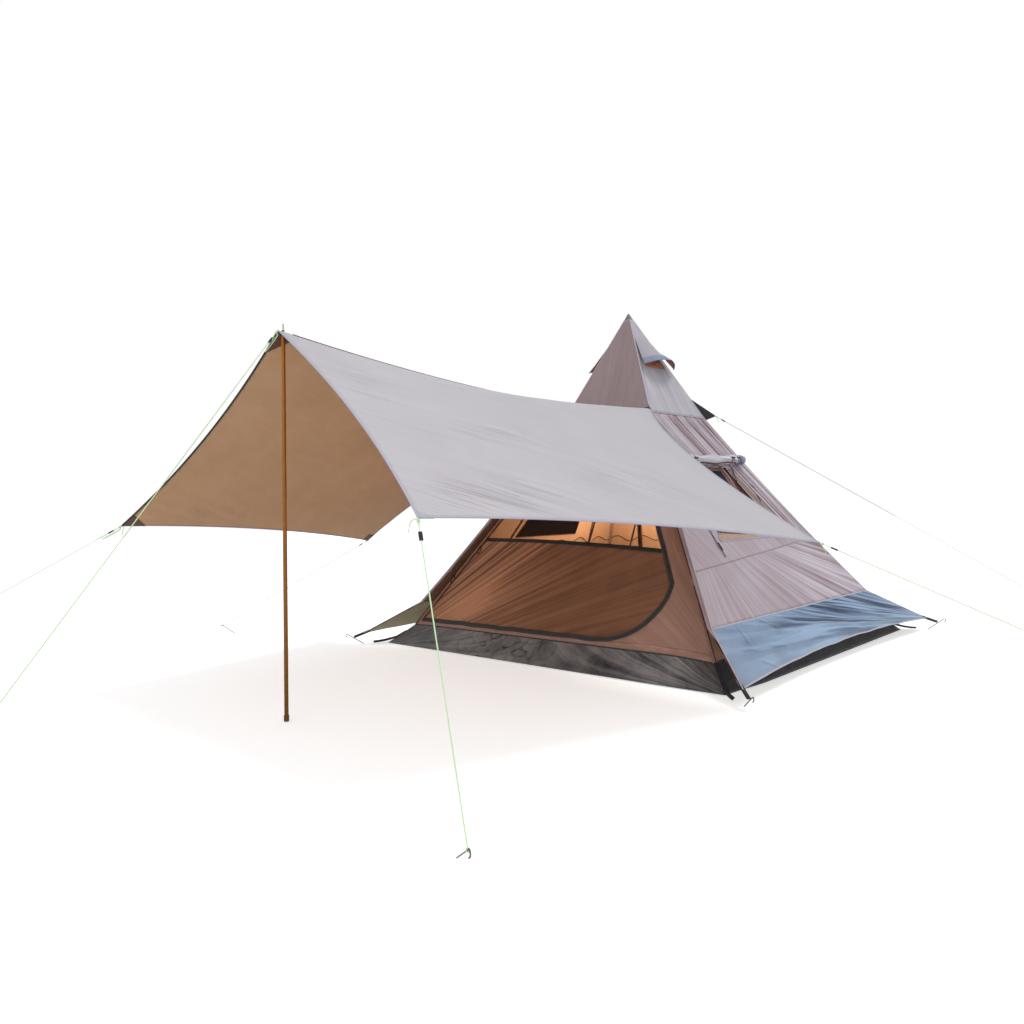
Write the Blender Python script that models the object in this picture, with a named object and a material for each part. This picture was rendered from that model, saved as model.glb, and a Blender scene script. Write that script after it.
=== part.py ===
"""A double-skin pyramid tent pitched with its front awning. Metres, +Z up, the door faces -Y.

The origin is the middle of the groundsheet's underside. The fly, the outer skin, is a square pyramid
of sewn panels with a skirt round three sides and an open front. The inner tent hangs inside it on a
groundsheet with raised edges. A six-cornered awning runs from the cap seam to a pole of its own, and
seven guy lines with runners go to pegs. The pegs stand on their tips, as if the ground were lifted off.
"""

import math

import bmesh
import bpy
from mathutils import Matrix, Vector
from mathutils.bvhtree import BVHTree

# Cloth and seams
CLOTH = 0.0015
SEAM_GAP = 0.0005
HIP_GAP = 0.0006
FIT_GAP = 0.0004
OVERRUN = 0.05

# Fly: heights and half widths of the hem, the skirt seam, the cap seam and the peak
HEM_Z, HEM_R = 0.085, 1.60
SKIRT_Z, SKIRT_R = 0.32, 1.27
CAP_Z, CAP_R = 1.75, 0.41
PEAK_Z = 2.65
CAP_TOP_R = 0.026
PEAK_TIP_R = 0.004
PEAK_LAP = 0.004
HIP_BOW = 0.02
HEM_CUT = 0.07
WALL_FOLD = 0.007
WALL_FOLDS = 9
SKIRT_FOLD = 0.016
SKIRT_FOLDS = 7
JAMB_WIDTH = 0.035
STRAP_WIDTH = 0.025
STRAP_LENGTH = 0.085
STRAP_END_Z = 0.055

# Hip tabs: at the rear for guy lines, at the front for the awning
TAB_HEIGHT = 0.17
FRONT_TAB_HEIGHT = 0.055
TAB_REACH = 0.085
TAB_TIP = 0.012
TAB_ROOT = 0.004
TAB_SHIFT = 0.002

# Vents in the side caps and their hoods
VENT_DROP = 0.485
VENT_SILL_Z = PEAK_Z - VENT_DROP
VENT_WIDTH = 0.30
VENT_HEIGHT = 0.095
HOOD_DROP = 0.23
HOOD_TOP_Z = PEAK_Z - HOOD_DROP
HOOD_LENGTH = 0.30
HOOD_TOP_WIDTH = 0.19
HOOD_BRIM_WIDTH = 0.44
HOOD_LIFT = 0.13
HOOD_END_LIFT = 0.035
PROP_WIDTH = 0.014
PROP_THICKNESS = 0.003
PROP_PLACE = 0.249
PROP_DROP = 0.012
HOOD_SAG = 0.0005

# Side windows of the fly and their rolled-up flaps
WINDOW_SILL_Z = 0.79
WINDOW_TOP_Z = 1.33
WINDOW_SILL_WIDTH = 1.04
WINDOW_TOP_WIDTH = 0.52
ROLL_Z = 1.358
ROLL_LENGTH = 1.10
ROLL_RADIUS = 0.036
ROLL_SWELL = 0.006
ROLL_TILT_SHARE = 0.04

# Inner tent: heights and half widths of the floor, the raised edge, the shoulder and the top
FLOOR_R = 1.45
FLOOR_THICKNESS = 0.003
FLOOR_CORNER = 0.03
FLOOR_STRAP = 0.11
TUB_Z, TUB_R = 0.15, 1.30
SHOULDER_R = 0.335
INNER_TOP_Z, INNER_TOP_R = 2.48, 0.022
TUB_CRUMPLE = 0.008
TUB_CRUMPLES = 11

# Door of the inner tent, on its front wall
DOOR_SILL_Z = 0.19
DOOR_TOP_Z = 1.58
DOOR_LEFT_MARGIN = 0.045
DOOR_RIGHT_MARGIN = 0.1537
DOOR_TOP_MARGIN = 0.1375
DOOR_CORNER_X = 0.45
DOOR_WIDEST_Z = 0.55
ZIP_GAP = 0.0008
BAND_Z = 0.79
BAND_TILT_SHARE = 0.043
BAND_SAG = 0.018
DOOR_FOLD = 0.012
SLIDER_Z = 0.64
SLIDER_WIDTH = 0.012
SLIDER_THICKNESS = 0.006
SLIDER_LENGTH = 0.016
PULL_WIDTH = 0.007
PULL_LENGTH = 0.030

# Poles
CENTRE_POLE_R = 0.0125
CENTRE_POLE_JOINT_Z = 1.28
CENTRE_FOOT_R = 0.024
FRONT_POLE_R = 0.011
FRONT_POLE_OUT = 3.29
FRONT_POLE_Z = 2.0
FRONT_POLE_JOINT_Z = 0.98
FRONT_FOOT_R = 0.014
FOOT_HEIGHT = 0.03
SPIGOT_LENGTH = 0.09
POLE_WALL = 0.0022
SPIKE_R = 0.0035
SPIKE_LENGTH = 0.05
CONE_HEIGHT = 0.016

# Awning: its right half, mirrored for the left
AWNING_FRONT_LIP = 0.03
AWNING_TIP_RISE = 0.007
AWNING_FRONT_X, AWNING_FRONT_OUT, AWNING_FRONT_Z = 1.402, 3.595, 1.009
AWNING_REAR_X, AWNING_REAR_OUT, AWNING_REAR_Z = 1.916, 1.301, 0.819
AWNING_HIP_X, AWNING_HIP_OUT, AWNING_HIP_Z = 0.43, 0.44, 1.765
AWNING_RIDGE_OUT, AWNING_RIDGE_Z = 0.432, 1.800
AWNING_FRONT_CORNER = Vector((AWNING_FRONT_X, -AWNING_FRONT_OUT, AWNING_FRONT_Z))
AWNING_REAR_CORNER = Vector((AWNING_REAR_X, -AWNING_REAR_OUT, AWNING_REAR_Z))
AWNING_HIP_POINT = Vector((AWNING_HIP_X, -AWNING_HIP_OUT, AWNING_HIP_Z))
AWNING_RIDGE_END = Vector((0, -AWNING_RIDGE_OUT, AWNING_RIDGE_Z))
RIDGE_SAG = 0.055
FRONT_CUT = 0.075
SIDE_CUT = 0.07
REAR_CUT = 0.20
AWNING_RIPPLE = 0.006
AWNING_RIPPLES = 5
HIP_POINT_SHARE = 0.2

# Guy lines, their runners and the pegs
LINE_R = 0.0025
LINE_POINTS = 9
RUNNER_LENGTH = 0.034
RUNNER_WIDTH = 0.016
RUNNER_THICKNESS = 0.009
RUNNER_PLACE = 0.075
PEG_R = 0.003
PEG_SHAFT = 0.150
PEG_HOOK_R = 0.010
PEG_RETURN = 0.014
PEG_LEAN = math.radians(60)
PEG_TIE_SHARE = 0.92

# Where the guy lines are staked, as ground points of their pegs
FRONT_STAKE_OUT = 4.647
FRONT_LEFT_STAKE_X, FRONT_LEFT_STAKE_OUT = 2.447, 4.819
FRONT_RIGHT_STAKE_X, FRONT_RIGHT_STAKE_OUT = 1.759, 3.784
SIDE_LEFT_STAKE_X, SIDE_LEFT_STAKE_OUT = 3.04, 1.978
SIDE_RIGHT_STAKE_X, SIDE_RIGHT_STAKE_OUT = 3.014, 0.399
REAR_STAKE_X, REAR_STAKE_BACK = 2.342, 2.370
FRONT_STAKE = Vector((0, -FRONT_STAKE_OUT, 0))
FRONT_LEFT_STAKE = Vector((-FRONT_LEFT_STAKE_X, -FRONT_LEFT_STAKE_OUT, 0))
FRONT_RIGHT_STAKE = Vector((FRONT_RIGHT_STAKE_X, -FRONT_RIGHT_STAKE_OUT, 0))
SIDE_LEFT_STAKE = Vector((-SIDE_LEFT_STAKE_X, -SIDE_LEFT_STAKE_OUT, 0))
SIDE_RIGHT_STAKE = Vector((SIDE_RIGHT_STAKE_X, -SIDE_RIGHT_STAKE_OUT, 0))
REAR_STAKE = Vector((REAR_STAKE_X, REAR_STAKE_BACK, 0))
LINE_TOP_DROP = 0.105

# Facets
POLE_SIDES = 16
ROLL_SIDES = 12
ROLL_RINGS = 15
BORE_SIDES = 10

FRONT, RIGHT, REAR, LEFT = range(4)


def clear_scene():
    for thing in list(bpy.data.objects):
        bpy.data.objects.remove(thing, do_unlink=True)


def finish(name, colour, roughness, metallic=0.0):
    """A plain Principled material in the colour that the piece shows."""
    made = bpy.data.materials.new(name)
    made.use_nodes = True
    shader = made.node_tree.nodes["Principled BSDF"]
    shader.inputs["Base Color"].default_value = (*colour, 1.0)
    shader.inputs["Roughness"].default_value = roughness
    shader.inputs["Metallic"].default_value = metallic
    made.diffuse_color = (*colour, 1.0)
    return made


def place(name, shape, look):
    """Turns a bmesh into a named object of the scene."""
    bmesh.ops.recalc_face_normals(shape, faces=shape.faces[:])
    data = bpy.data.meshes.new(name)
    shape.to_mesh(data)
    shape.free()
    data.materials.append(look)
    made = bpy.data.objects.new(name, data)
    bpy.context.scene.collection.objects.link(made)
    return made


def join(first, second, operation):
    """Cuts the second object from the first or unites them, and removes the second."""
    modifier = first.modifiers.new(operation.title(), "BOOLEAN")
    modifier.operation = operation
    modifier.object = second
    bpy.context.view_layer.update()
    graph = bpy.context.evaluated_depsgraph_get()
    result = bpy.data.meshes.new_from_object(first.evaluated_get(graph))
    first.modifiers.remove(modifier)
    first.data = result
    bpy.data.objects.remove(second, do_unlink=True)


def mix(low, high, share):
    return low + (high - low) * share


def on_profile(profile, z):
    """The half width at a height, on straight runs between (height, half width) pairs."""
    for (low_z, low_r), (high_z, high_r) in zip(profile, profile[1:]):
        if z <= high_z:
            return mix(low_r, high_r, (z - low_z) / (high_z - low_z))
    return profile[-1][1]


FLY_PROFILE = ((HEM_Z, HEM_R), (SKIRT_Z, SKIRT_R), (CAP_Z, CAP_R), (PEAK_Z, 0.0))
INNER_PROFILE = ((0.0, FLOOR_R), (TUB_Z, TUB_R), (CAP_Z, SHOULDER_R), (INNER_TOP_Z, INNER_TOP_R))


def fly_r(z):
    """Half width of the fly, whose hips are cut slightly hollow between the skirt and the cap."""
    share = min(max((z - SKIRT_Z) / (CAP_Z - SKIRT_Z), 0.0), 1.0)
    return on_profile(FLY_PROFILE, z) - HIP_BOW * 4 * share * (1 - share)


def inner_r(z):
    return on_profile(INNER_PROFILE, z)


def turn(face, x, y, z):
    """Carries a point drawn on the front face round to another face."""
    return Matrix.Rotation(face * math.pi / 2, 3, "Z") @ Vector((x, y, z))


def cloth(name, rows, look, thickness=CLOTH):
    """A closed sheet on a grid of points, thickened to the side that its rows and columns turn to."""
    shape = bmesh.new()
    near = [[shape.verts.new(point) for point in row] for row in rows]
    faces = []
    for upper, lower in zip(near, near[1:]):
        for i in range(len(upper) - 1):
            faces.append(shape.faces.new((upper[i], lower[i], lower[i + 1])))
            faces.append(shape.faces.new((upper[i], lower[i + 1], upper[i + 1])))
    shape.normal_update()
    far = [[shape.verts.new(v.co + v.normal * thickness) for v in row] for row in near]
    across = {a: b for near_row, far_row in zip(near, far) for a, b in zip(near_row, far_row)}
    for face in faces:
        shape.faces.new([across[v] for v in reversed(face.verts)])
    edge = near[0] + [row[-1] for row in near[1:]] + near[-1][-2::-1] + [row[0] for row in near[-2:0:-1]]
    for a, b in zip(edge, edge[1:] + edge[:1]):
        shape.faces.new((a, b, across[b], across[a]))
    return place(name, shape, look)


def face_rows(face, heights, shares, radius, gap=HIP_GAP, lift=None):
    """Rows of points on one face of a pyramid, from the top down, shares across it from -1 to 1."""
    rows = []
    for z in heights:
        r = radius(z)
        row = []
        for share in shares:
            out = lift(share, z) if lift else 0.0
            row.append(turn(face, share * (r - gap), -r - out, z))
        rows.append(row)
    return rows


def spread(low, high, count):
    return [mix(low, high, i / (count - 1)) for i in range(count)]


def wall_fold(share, z):
    """Long creases that fan down a fly wall from its cap seam and die out at its edges."""
    depth = math.sin(math.pi * (z - SKIRT_Z) / (CAP_Z - SKIRT_Z)) * (1 - share * share)
    wave = math.sin(math.pi * WALL_FOLDS * share + 2 * z / CAP_Z) + 0.5 * math.sin(
        math.pi * (WALL_FOLDS + 5) * share - 3 * z / CAP_Z
    )
    return WALL_FOLD * depth * wave


def fly_wall(name, face, look):
    heights = spread(CAP_Z - SEAM_GAP, SKIRT_Z + SEAM_GAP, 8)
    return cloth(name, face_rows(face, heights, spread(-1, 1, 25), fly_r, lift=wall_fold), look)


def cap_top_z():
    """Height at which the cap panels end, under the peak's cover."""
    return mix(PEAK_Z, CAP_Z, CAP_TOP_R / CAP_R)


def fly_cap(name, face, look):
    heights = (cap_top_z(), CAP_Z + SEAM_GAP)
    return cloth(name, face_rows(face, heights, (-1, 1), fly_r), look)


def rear_panel(name, look):
    """The rear of the fly in one, with the peak's cover and the tabs of the two rear guy lines."""
    heights = [cap_top_z() + PEAK_LAP] + spread(CAP_Z, SKIRT_Z + SEAM_GAP, 7)
    lift = lambda share, z: wall_fold(share, z) if z < CAP_Z else 0.0
    panel = cloth(name, face_rows(REAR, heights, spread(-1, 1, 19), fly_r, lift=lift), look)
    heights = (CAP_Z + TAB_HEIGHT, CAP_Z - TAB_HEIGHT / 12)
    tabs = [hip_tab(side, 1, heights, tab_tip(side), look) for side in (-1, 1)]
    for piece in (*tabs, peak_cover(look)):
        join(panel, piece, "UNION")
    return panel


def tab_tip(side):
    """Outer end of a rear hip tab, on the diagonal of the tent."""
    reach = (CAP_R + CLOTH + TAB_REACH / math.sqrt(2)) * Vector((side, 1, 0))
    return reach + Vector((0, TAB_SHIFT, CAP_Z + LINE_TOP_DROP - TAB_HEIGHT / 2))


def hip_tab(side, end, heights, tip, look):
    """A triangle of doubled cloth that stands out from a hip: side is -1 or 1, end -1 at the front."""
    out = Vector((side, end, 0)).normalized()
    shift = Vector((0, end * TAB_SHIFT, 0))
    roots = [Vector((side * fly_r(z), end * fly_r(z), z)) + shift - out * TAB_ROOT for z in heights]
    half_tip = Vector((0, 0, TAB_TIP / 2))
    outline = (roots[0], tip + half_tip, tip - half_tip, roots[1])
    flat = Vector((-out.y, out.x, 0)) * CLOTH / 2
    shape = bmesh.new()
    near = [shape.verts.new(p - flat) for p in outline]
    far = [shape.verts.new(p + flat) for p in outline]
    shape.faces.new(near)
    shape.faces.new(far[::-1])
    for i in range(4):
        shape.faces.new((near[i], near[i - 1], far[i - 1], far[i]))
    return place("hip_tab", shape, look)


def front_cap(name, look):
    """The front cap panel, with the two hip tabs that the awning's rear corners are toggled to."""
    panel = fly_cap(name, FRONT, look)
    heights = (CAP_Z + FRONT_TAB_HEIGHT, CAP_Z + SEAM_GAP)
    for side in (-1, 1):
        hip = AWNING_HIP_POINT * Vector((side, 1, 1))
        tip = hip - Vector((side, -1, 0)).normalized() * (FIT_GAP + CLOTH * 0.6)
        join(panel, hip_tab(side, -1, heights, tip, look), "UNION")
    return panel


def seat(made, onto, direction, gap):
    """Moves an object along a direction until it stands a gap off another."""
    reach = CAP_Z
    bodies = []
    for body in (made, onto):
        corners = [body.matrix_world @ v.co for v in body.data.vertices]
        bodies.append((corners, BVHTree.FromPolygons(corners, [p.vertices for p in body.data.polygons])))
    (near, near_tree), (far, far_tree) = bodies
    hits = [far_tree.ray_cast(p, direction, reach)[3] for p in near]
    hits += [near_tree.ray_cast(p, -direction, reach)[3] for p in far]
    made.data.transform(Matrix.Translation(direction * (min(h for h in hits if h is not None) - gap)))


def skirt_point(share, down, fold=True):
    """A point of the skirt on the front face: down runs from 0 at its seam to 1 at its hem."""
    slope = math.hypot(HEM_R - SKIRT_R, SKIRT_Z - HEM_Z)
    short = down * (1 - HEM_CUT / slope * (1 - share * share))
    r, z = mix(SKIRT_R, HEM_R, short), mix(SKIRT_Z, HEM_Z, short)
    out = 0.0
    if fold:
        wave = math.sin(math.pi * SKIRT_FOLDS * share * (1 - 0.25 * down)) + 0.6 * math.sin(
            math.pi * (SKIRT_FOLDS + 4) * share + 2 * down
        )
        out = SKIRT_FOLD * wave * down * (1 - share * share)
    normal = Vector((0, -(SKIRT_Z - HEM_Z), HEM_R - SKIRT_R)).normalized()
    return Vector((share * (mix(SKIRT_R, HEM_R, down) - HIP_GAP), -r, z)) + normal * out


def skirt(name, face, look, straps):
    """A skirt panel, whose two hem corners run out into webbing straps for the corner pegs."""
    edge = STRAP_WIDTH / HEM_R
    shares = [-1.0] + spread(-1 + edge, 1 - edge, 25) + [1.0]
    first = SEAM_GAP / math.hypot(HEM_R - SKIRT_R, SKIRT_Z - HEM_Z)
    rows = []
    for down in spread(first, 1, 6):
        rows.append([turn(face, *skirt_point(share, down)) for share in shares])
    made = cloth(name, rows, look)
    if straps:
        corners = [(rows[-1][0], rows[-1][1]), (rows[-1][-1], rows[-1][-2])]
        for corner, beside in corners:
            corner_strap(made, corner, beside)
    return made


def corner_strap(made, corner, beside):
    """Draws the hem's end face out along the diagonal, as the webbing loop that the peg takes."""
    shape = bmesh.new()
    shape.from_mesh(made.data)
    middle = (corner + beside) / 2
    face = min(
        (f for f in shape.faces if len(f.verts) == 4 and abs(f.normal.z) < 0.95),
        key=lambda f: (f.calc_center_median() - middle).length,
    )
    grown = bmesh.ops.extrude_discrete_faces(shape, faces=[face])["faces"][0]
    side = Vector((math.copysign(1, corner.x), math.copysign(1, corner.y), 0))
    target = side * (HEM_R + STRAP_LENGTH / math.sqrt(2)) + Vector((0, 0, STRAP_END_Z))
    across = Vector((-side.y, side.x, 0)).normalized()
    centre = grown.calc_center_median()
    for vert in grown.verts:
        offset = vert.co - centre
        vert.co = target + across * offset.dot(across) + Vector((0, 0, offset.z * 0.3))
    bmesh.ops.recalc_face_normals(shape, faces=shape.faces[:])
    shape.to_mesh(made.data)
    shape.free()


def jamb(name, side, look):
    """The strip of the open front that stays on a front hip and goes on down the skirt's front edge."""
    rows = []
    for z in spread(CAP_Z - SEAM_GAP, SKIRT_Z, 7):
        r = fly_r(z)
        rows.append([(r - HIP_GAP, r, z), (r - HIP_GAP - JAMB_WIDTH, r, z)])
    for down in (0.2, 0.4, 0.6, 0.8, 0.95):
        outer = skirt_point(1, down, fold=False)
        rows.append([(outer.x, -outer.y, outer.z), (outer.x - JAMB_WIDTH, -outer.y, outer.z)])
    rows = [[Vector((side * x, -y, z)) for x, y, z in row] for row in rows]
    return cloth(name, [row[::-side] for row in rows], look)


def cap_prism(face, width, height, sill_z):
    """A cutter through a side cap in the vent's shape: a flat sill under a half round."""
    shape = bmesh.new()
    outline = []
    for i in range(BORE_SIDES + 1):
        angle = math.pi * i / BORE_SIDES
        outline.append((width / 2 * math.cos(angle), sill_z + height * math.sin(angle)))
    return prism_through(shape, face, outline, fly_r)


def prism_through(shape, face, outline, radius):
    """A prism on an outline of (across, height) points, standing square through a sloping face."""
    heights = [z for _, z in outline]
    ends = []
    for r in (radius(min(heights)) + OVERRUN, radius(max(heights)) - OVERRUN):
        ends.append([shape.verts.new(turn(face, x, -r, z)) for x, z in outline])
    shape.faces.new(ends[0])
    shape.faces.new(ends[1][::-1])
    for i in range(len(outline)):
        shape.faces.new((ends[0][i], ends[0][i - 1], ends[1][i - 1], ends[1][i]))
    return place("cutter", shape, LOOKS["dark"])


def hood_point(face, x, down, off):
    """A point off a side cap: across it, down it from the hood's hinge, and square off its cloth."""
    slope = Vector((0, -CAP_R, -(PEAK_Z - CAP_Z))).normalized()
    normal = Vector((0, slope.z, -slope.y))
    hinge = Vector((0, -fly_r(HOOD_TOP_Z), HOOD_TOP_Z)) + normal * (CLOTH + FIT_GAP)
    return turn(face, *(hinge + Vector((x, 0, 0)) + slope * down + normal * off))


def hood(name, face, look):
    """An eyebrow of cloth over a vent: its top edge lies on the cap, its brim stands off in an arch."""
    rows = []
    for down in spread(0, 1, 6):
        half = mix(HOOD_TOP_WIDTH, HOOD_BRIM_WIDTH, down) / 2
        row = []
        for share in spread(-1, 1, 13):
            lift = down * mix(HOOD_END_LIFT, HOOD_LIFT, 1 - share * share)
            row.append(hood_point(face, share * half, down * HOOD_LENGTH, lift))
        rows.append(row)
    made = cloth(name, rows, look)
    move_origin(made, hood_point(face, 0, 0, CLOTH / 2))
    return made


def prop_ends():
    """The vent prop's pivot under the hood and its foot on the sill, as (down, off) pairs."""
    slope = HOOD_LIFT / HOOD_LENGTH
    under = PROP_PLACE * slope - (PROP_THICKNESS / 2 + FIT_GAP) * math.hypot(1, slope) - HOOD_SAG
    return Vector((PROP_PLACE, under)), Vector((PROP_PLACE + PROP_DROP, 0))


def vent_prop(name, face, look):
    """A flat strut that stands on the vent's sill and holds the hood open."""
    pivot, foot = prop_ends()
    along = (foot - pivot).normalized()
    across = Vector((-along.y, along.x))
    half = PROP_THICKNESS / 2
    corners = [foot + across * half, foot - across * half]
    for i in range(5):
        angle = math.pi * i / 4
        corners.append(pivot - (across * math.cos(angle) + along * math.sin(angle)) * half)
    shape = bmesh.new()
    ends = []
    for x in (-PROP_WIDTH / 2, PROP_WIDTH / 2):
        ends.append([shape.verts.new(hood_point(face, x, down, off)) for down, off in corners])
    shape.faces.new(ends[0])
    shape.faces.new(ends[1][::-1])
    for i in range(len(corners)):
        shape.faces.new((ends[0][i], ends[0][i - 1], ends[1][i - 1], ends[1][i]))
    made = place(name, shape, look)
    move_origin(made, hood_point(face, 0, *pivot))
    return made


def window_roll(name, face, wall, look):
    """The window's flap rolled up over its opening and tied, its rear end a little higher."""
    slope = Vector((0, -(SKIRT_R - CAP_R), -(CAP_Z - SKIRT_Z))).normalized()
    normal = Vector((0, slope.z, -slope.y))
    foot = Vector((0, -fly_r(ROLL_Z), ROLL_Z))
    shape = bmesh.new()
    rings = []
    for i in range(ROLL_RINGS):
        share = 2 * i / (ROLL_RINGS - 1) - 1
        swell = ROLL_SWELL * math.cos(3 * math.pi * share)
        radius = (ROLL_RADIUS - ROLL_SWELL + swell) * (1 - 0.45 * abs(share) ** 6)
        centre = foot + normal * (CLOTH + 2 * ROLL_RADIUS)
        centre.x = share * ROLL_LENGTH / 2
        centre -= slope * ROLL_TILT_SHARE * centre.x * turn(face, 1, 0, 0).y
        ring = []
        for k in range(ROLL_SIDES):
            angle = 2 * math.pi * k / ROLL_SIDES
            offset = slope * math.cos(angle) * radius + normal * math.sin(angle) * radius
            ring.append(shape.verts.new(turn(face, *(centre + offset))))
        rings.append(ring)
    shape.faces.new(rings[0])
    shape.faces.new(rings[-1][::-1])
    for a, b in zip(rings, rings[1:]):
        for k in range(ROLL_SIDES):
            shape.faces.new((a[k], a[k - 1], b[k - 1], b[k]))
    made = place(name, shape, look)
    seat(made, wall, turn(face, *-normal), FIT_GAP)
    return made


def window_cutter(face):
    low, high = WINDOW_SILL_WIDTH / 2, WINDOW_TOP_WIDTH / 2
    outline = ((-low, WINDOW_SILL_Z), (low, WINDOW_SILL_Z), (high, WINDOW_TOP_Z), (-high, WINDOW_TOP_Z))
    return prism_through(bmesh.new(), face, outline, fly_r)


def inner_wall(name, face, look):
    heights = (INNER_TOP_Z, CAP_Z, TUB_Z + SEAM_GAP)
    return cloth(name, face_rows(face, heights, (-1, 1), inner_r), look)


def door_right_x(z):
    """The right side of the D-shaped door: a quarter of an ellipse, then straight to the top."""
    widest = inner_r(DOOR_WIDEST_Z) - DOOR_RIGHT_MARGIN
    if z < DOOR_WIDEST_Z:
        share = (DOOR_WIDEST_Z - z) / (DOOR_WIDEST_Z - DOOR_SILL_Z)
        return mix(DOOR_CORNER_X, widest, math.sqrt(max(1 - share * share, 0)))
    top = inner_r(DOOR_TOP_Z) - DOOR_TOP_MARGIN
    return mix(widest, top, (z - DOOR_WIDEST_Z) / (DOOR_TOP_Z - DOOR_WIDEST_Z))


def door_left_x(z):
    return -(inner_r(z) - DOOR_LEFT_MARGIN)


def band_z(x):
    """Height of the band between the door's solid cloth and its net, which sags to one side."""
    return BAND_Z - BAND_TILT_SHARE * x - BAND_SAG * (x / door_right_x(DOOR_WIDEST_Z)) ** 2


def door_outline(gap):
    """The door's edge with a gap round it, as (across, height) points from its lower left corner."""
    right = [(row[-1].x, row[-1].z) for row in reversed(net_rows() + panel_rows())]
    left = [(door_left_x(z), z) for z in (DOOR_TOP_Z, DOOR_SILL_Z)]
    edge = [Vector(point) for point in right + left]
    grown = []
    for before, here, after in zip(edge[-1:] + edge[:-1], edge, edge[1:] + edge[:1]):
        sides = [(b - a).normalized() for a, b in ((before, here), (here, after))]
        outs = [Vector((side.y, -side.x)) for side in sides]
        out = (outs[0] + outs[1]).normalized()
        grown.append(here + out * gap / max(out.dot(outs[0]), 0.5))
    return [tuple(point) for point in grown]


def inner_front(name, look):
    wall = inner_wall(name, FRONT, look)
    cutter = prism_through(bmesh.new(), FRONT, door_outline(ZIP_GAP), inner_r)
    join(wall, cutter, "DIFFERENCE")
    return wall


def door_row(z_at, columns, fold):
    """A row of the door's points at the heights that z_at gives across it."""
    row = []
    for share in columns:
        z = z_at(0.0)
        for _ in range(3):
            x = mix(door_left_x(z), door_right_x(z), share)
            z = z_at(x)
        row.append(Vector((x, -inner_r(z) - fold(share, z), z)))
    return row


def door_fold(share, z):
    """Creases that fan over the door from its lower left corner and die out at its edges."""
    down = (z - DOOR_SILL_Z) / (BAND_Z - DOOR_SILL_Z)
    angle = math.atan2(down + 0.05, share + 0.08)
    fan = math.sin(22 * angle) * (1 - share) + 0.5 * math.sin(9 * angle)
    return DOOR_FOLD * fan * math.sin(math.pi * share) * math.sin(math.pi * min(max(down, 0), 1))


def panel_rows():
    """Rows of the door's solid cloth, from the band down to the sill."""
    rows = []
    for up in spread(1, 0, 10):
        rise = 1 - math.cos(up * math.pi / 2)
        z_at = lambda x, rise=rise: mix(DOOR_SILL_Z, band_z(x) - SEAM_GAP, rise)
        rows.append(door_row(z_at, spread(0, 1, 21), door_fold))
    return rows


def net_rows():
    """Rows of the door's net, from its top down to the band."""
    rows = []
    for up in spread(1, 0, 4):
        z_at = lambda x, up=up: mix(band_z(x) + SEAM_GAP, DOOR_TOP_Z, up)
        rows.append(door_row(z_at, spread(0, 1, 6), lambda share, z: 0.0))
    return rows


def zip_frame():
    """The straight run of the door's zip: its lower point, its direction up the zip and its normal."""
    low = Vector((door_right_x(SLIDER_Z), -inner_r(SLIDER_Z), SLIDER_Z))
    high = Vector((door_right_x(DOOR_TOP_Z), -inner_r(DOOR_TOP_Z), DOOR_TOP_Z))
    slope = Vector((0, inner_r(TUB_Z) - inner_r(CAP_Z), CAP_Z - TUB_Z)).normalized()
    return low, (high - low).normalized(), Vector((0, -slope.z, slope.y))


def zip_slider(name, look):
    """The slider with its hanging pull, standing just off the wall over the zip."""
    low, along, normal = zip_frame()
    across = along.cross(normal)
    base = low + normal * (CLOTH + FIT_GAP)
    half, pull = SLIDER_WIDTH / 2, PULL_WIDTH / 2
    outline = ((-half, SLIDER_LENGTH), (-half, 0), (-pull, 0), (-pull, -PULL_LENGTH), (pull, -PULL_LENGTH), (pull, 0))
    outline += ((half, 0), (half, SLIDER_LENGTH))
    shape = bmesh.new()
    near = [shape.verts.new(base + across * x + along * y) for x, y in outline]
    far = [shape.verts.new(v.co + normal * SLIDER_THICKNESS) for v in near]
    shape.faces.new(near)
    shape.faces.new(far[::-1])
    for i in range(len(outline)):
        shape.faces.new((near[i], near[i - 1], far[i - 1], far[i]))
    made = place(name, shape, look)
    move_origin(made, base)
    return made


def move_origin(made, point):
    """Puts an object's origin at a point, without moving its faces."""
    made.data.transform(Matrix.Translation(-point))
    made.location = point


def groundsheet(name, look):
    """The floor, a flat sheet whose clipped corners run out into flat straps."""
    shape = bmesh.new()
    r, clip = FLOOR_R, FLOOR_CORNER
    outline = []
    for face in range(4):
        outline.append(turn(face, -r + clip, -r, 0))
        outline.append(turn(face, r - clip, -r, 0))
    base = shape.faces.new([shape.verts.new(p) for p in outline])
    top = bmesh.ops.extrude_face_region(shape, geom=[base])["geom"]
    bmesh.ops.translate(
        shape, vec=(0, 0, FLOOR_THICKNESS), verts=[v for v in top if isinstance(v, bmesh.types.BMVert)]
    )
    bmesh.ops.recalc_face_normals(shape, faces=shape.faces[:])
    corners = [f for f in shape.faces if abs(abs(f.normal.x) - abs(f.normal.y)) < 0.1 and abs(f.normal.z) < 0.1]
    for face in corners:
        out = face.normal.copy()
        grown = bmesh.ops.extrude_discrete_faces(shape, faces=[face])["faces"][0]
        bmesh.ops.translate(shape, vec=out * FLOOR_STRAP, verts=grown.verts[:])
    return place(name, shape, look)


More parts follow.
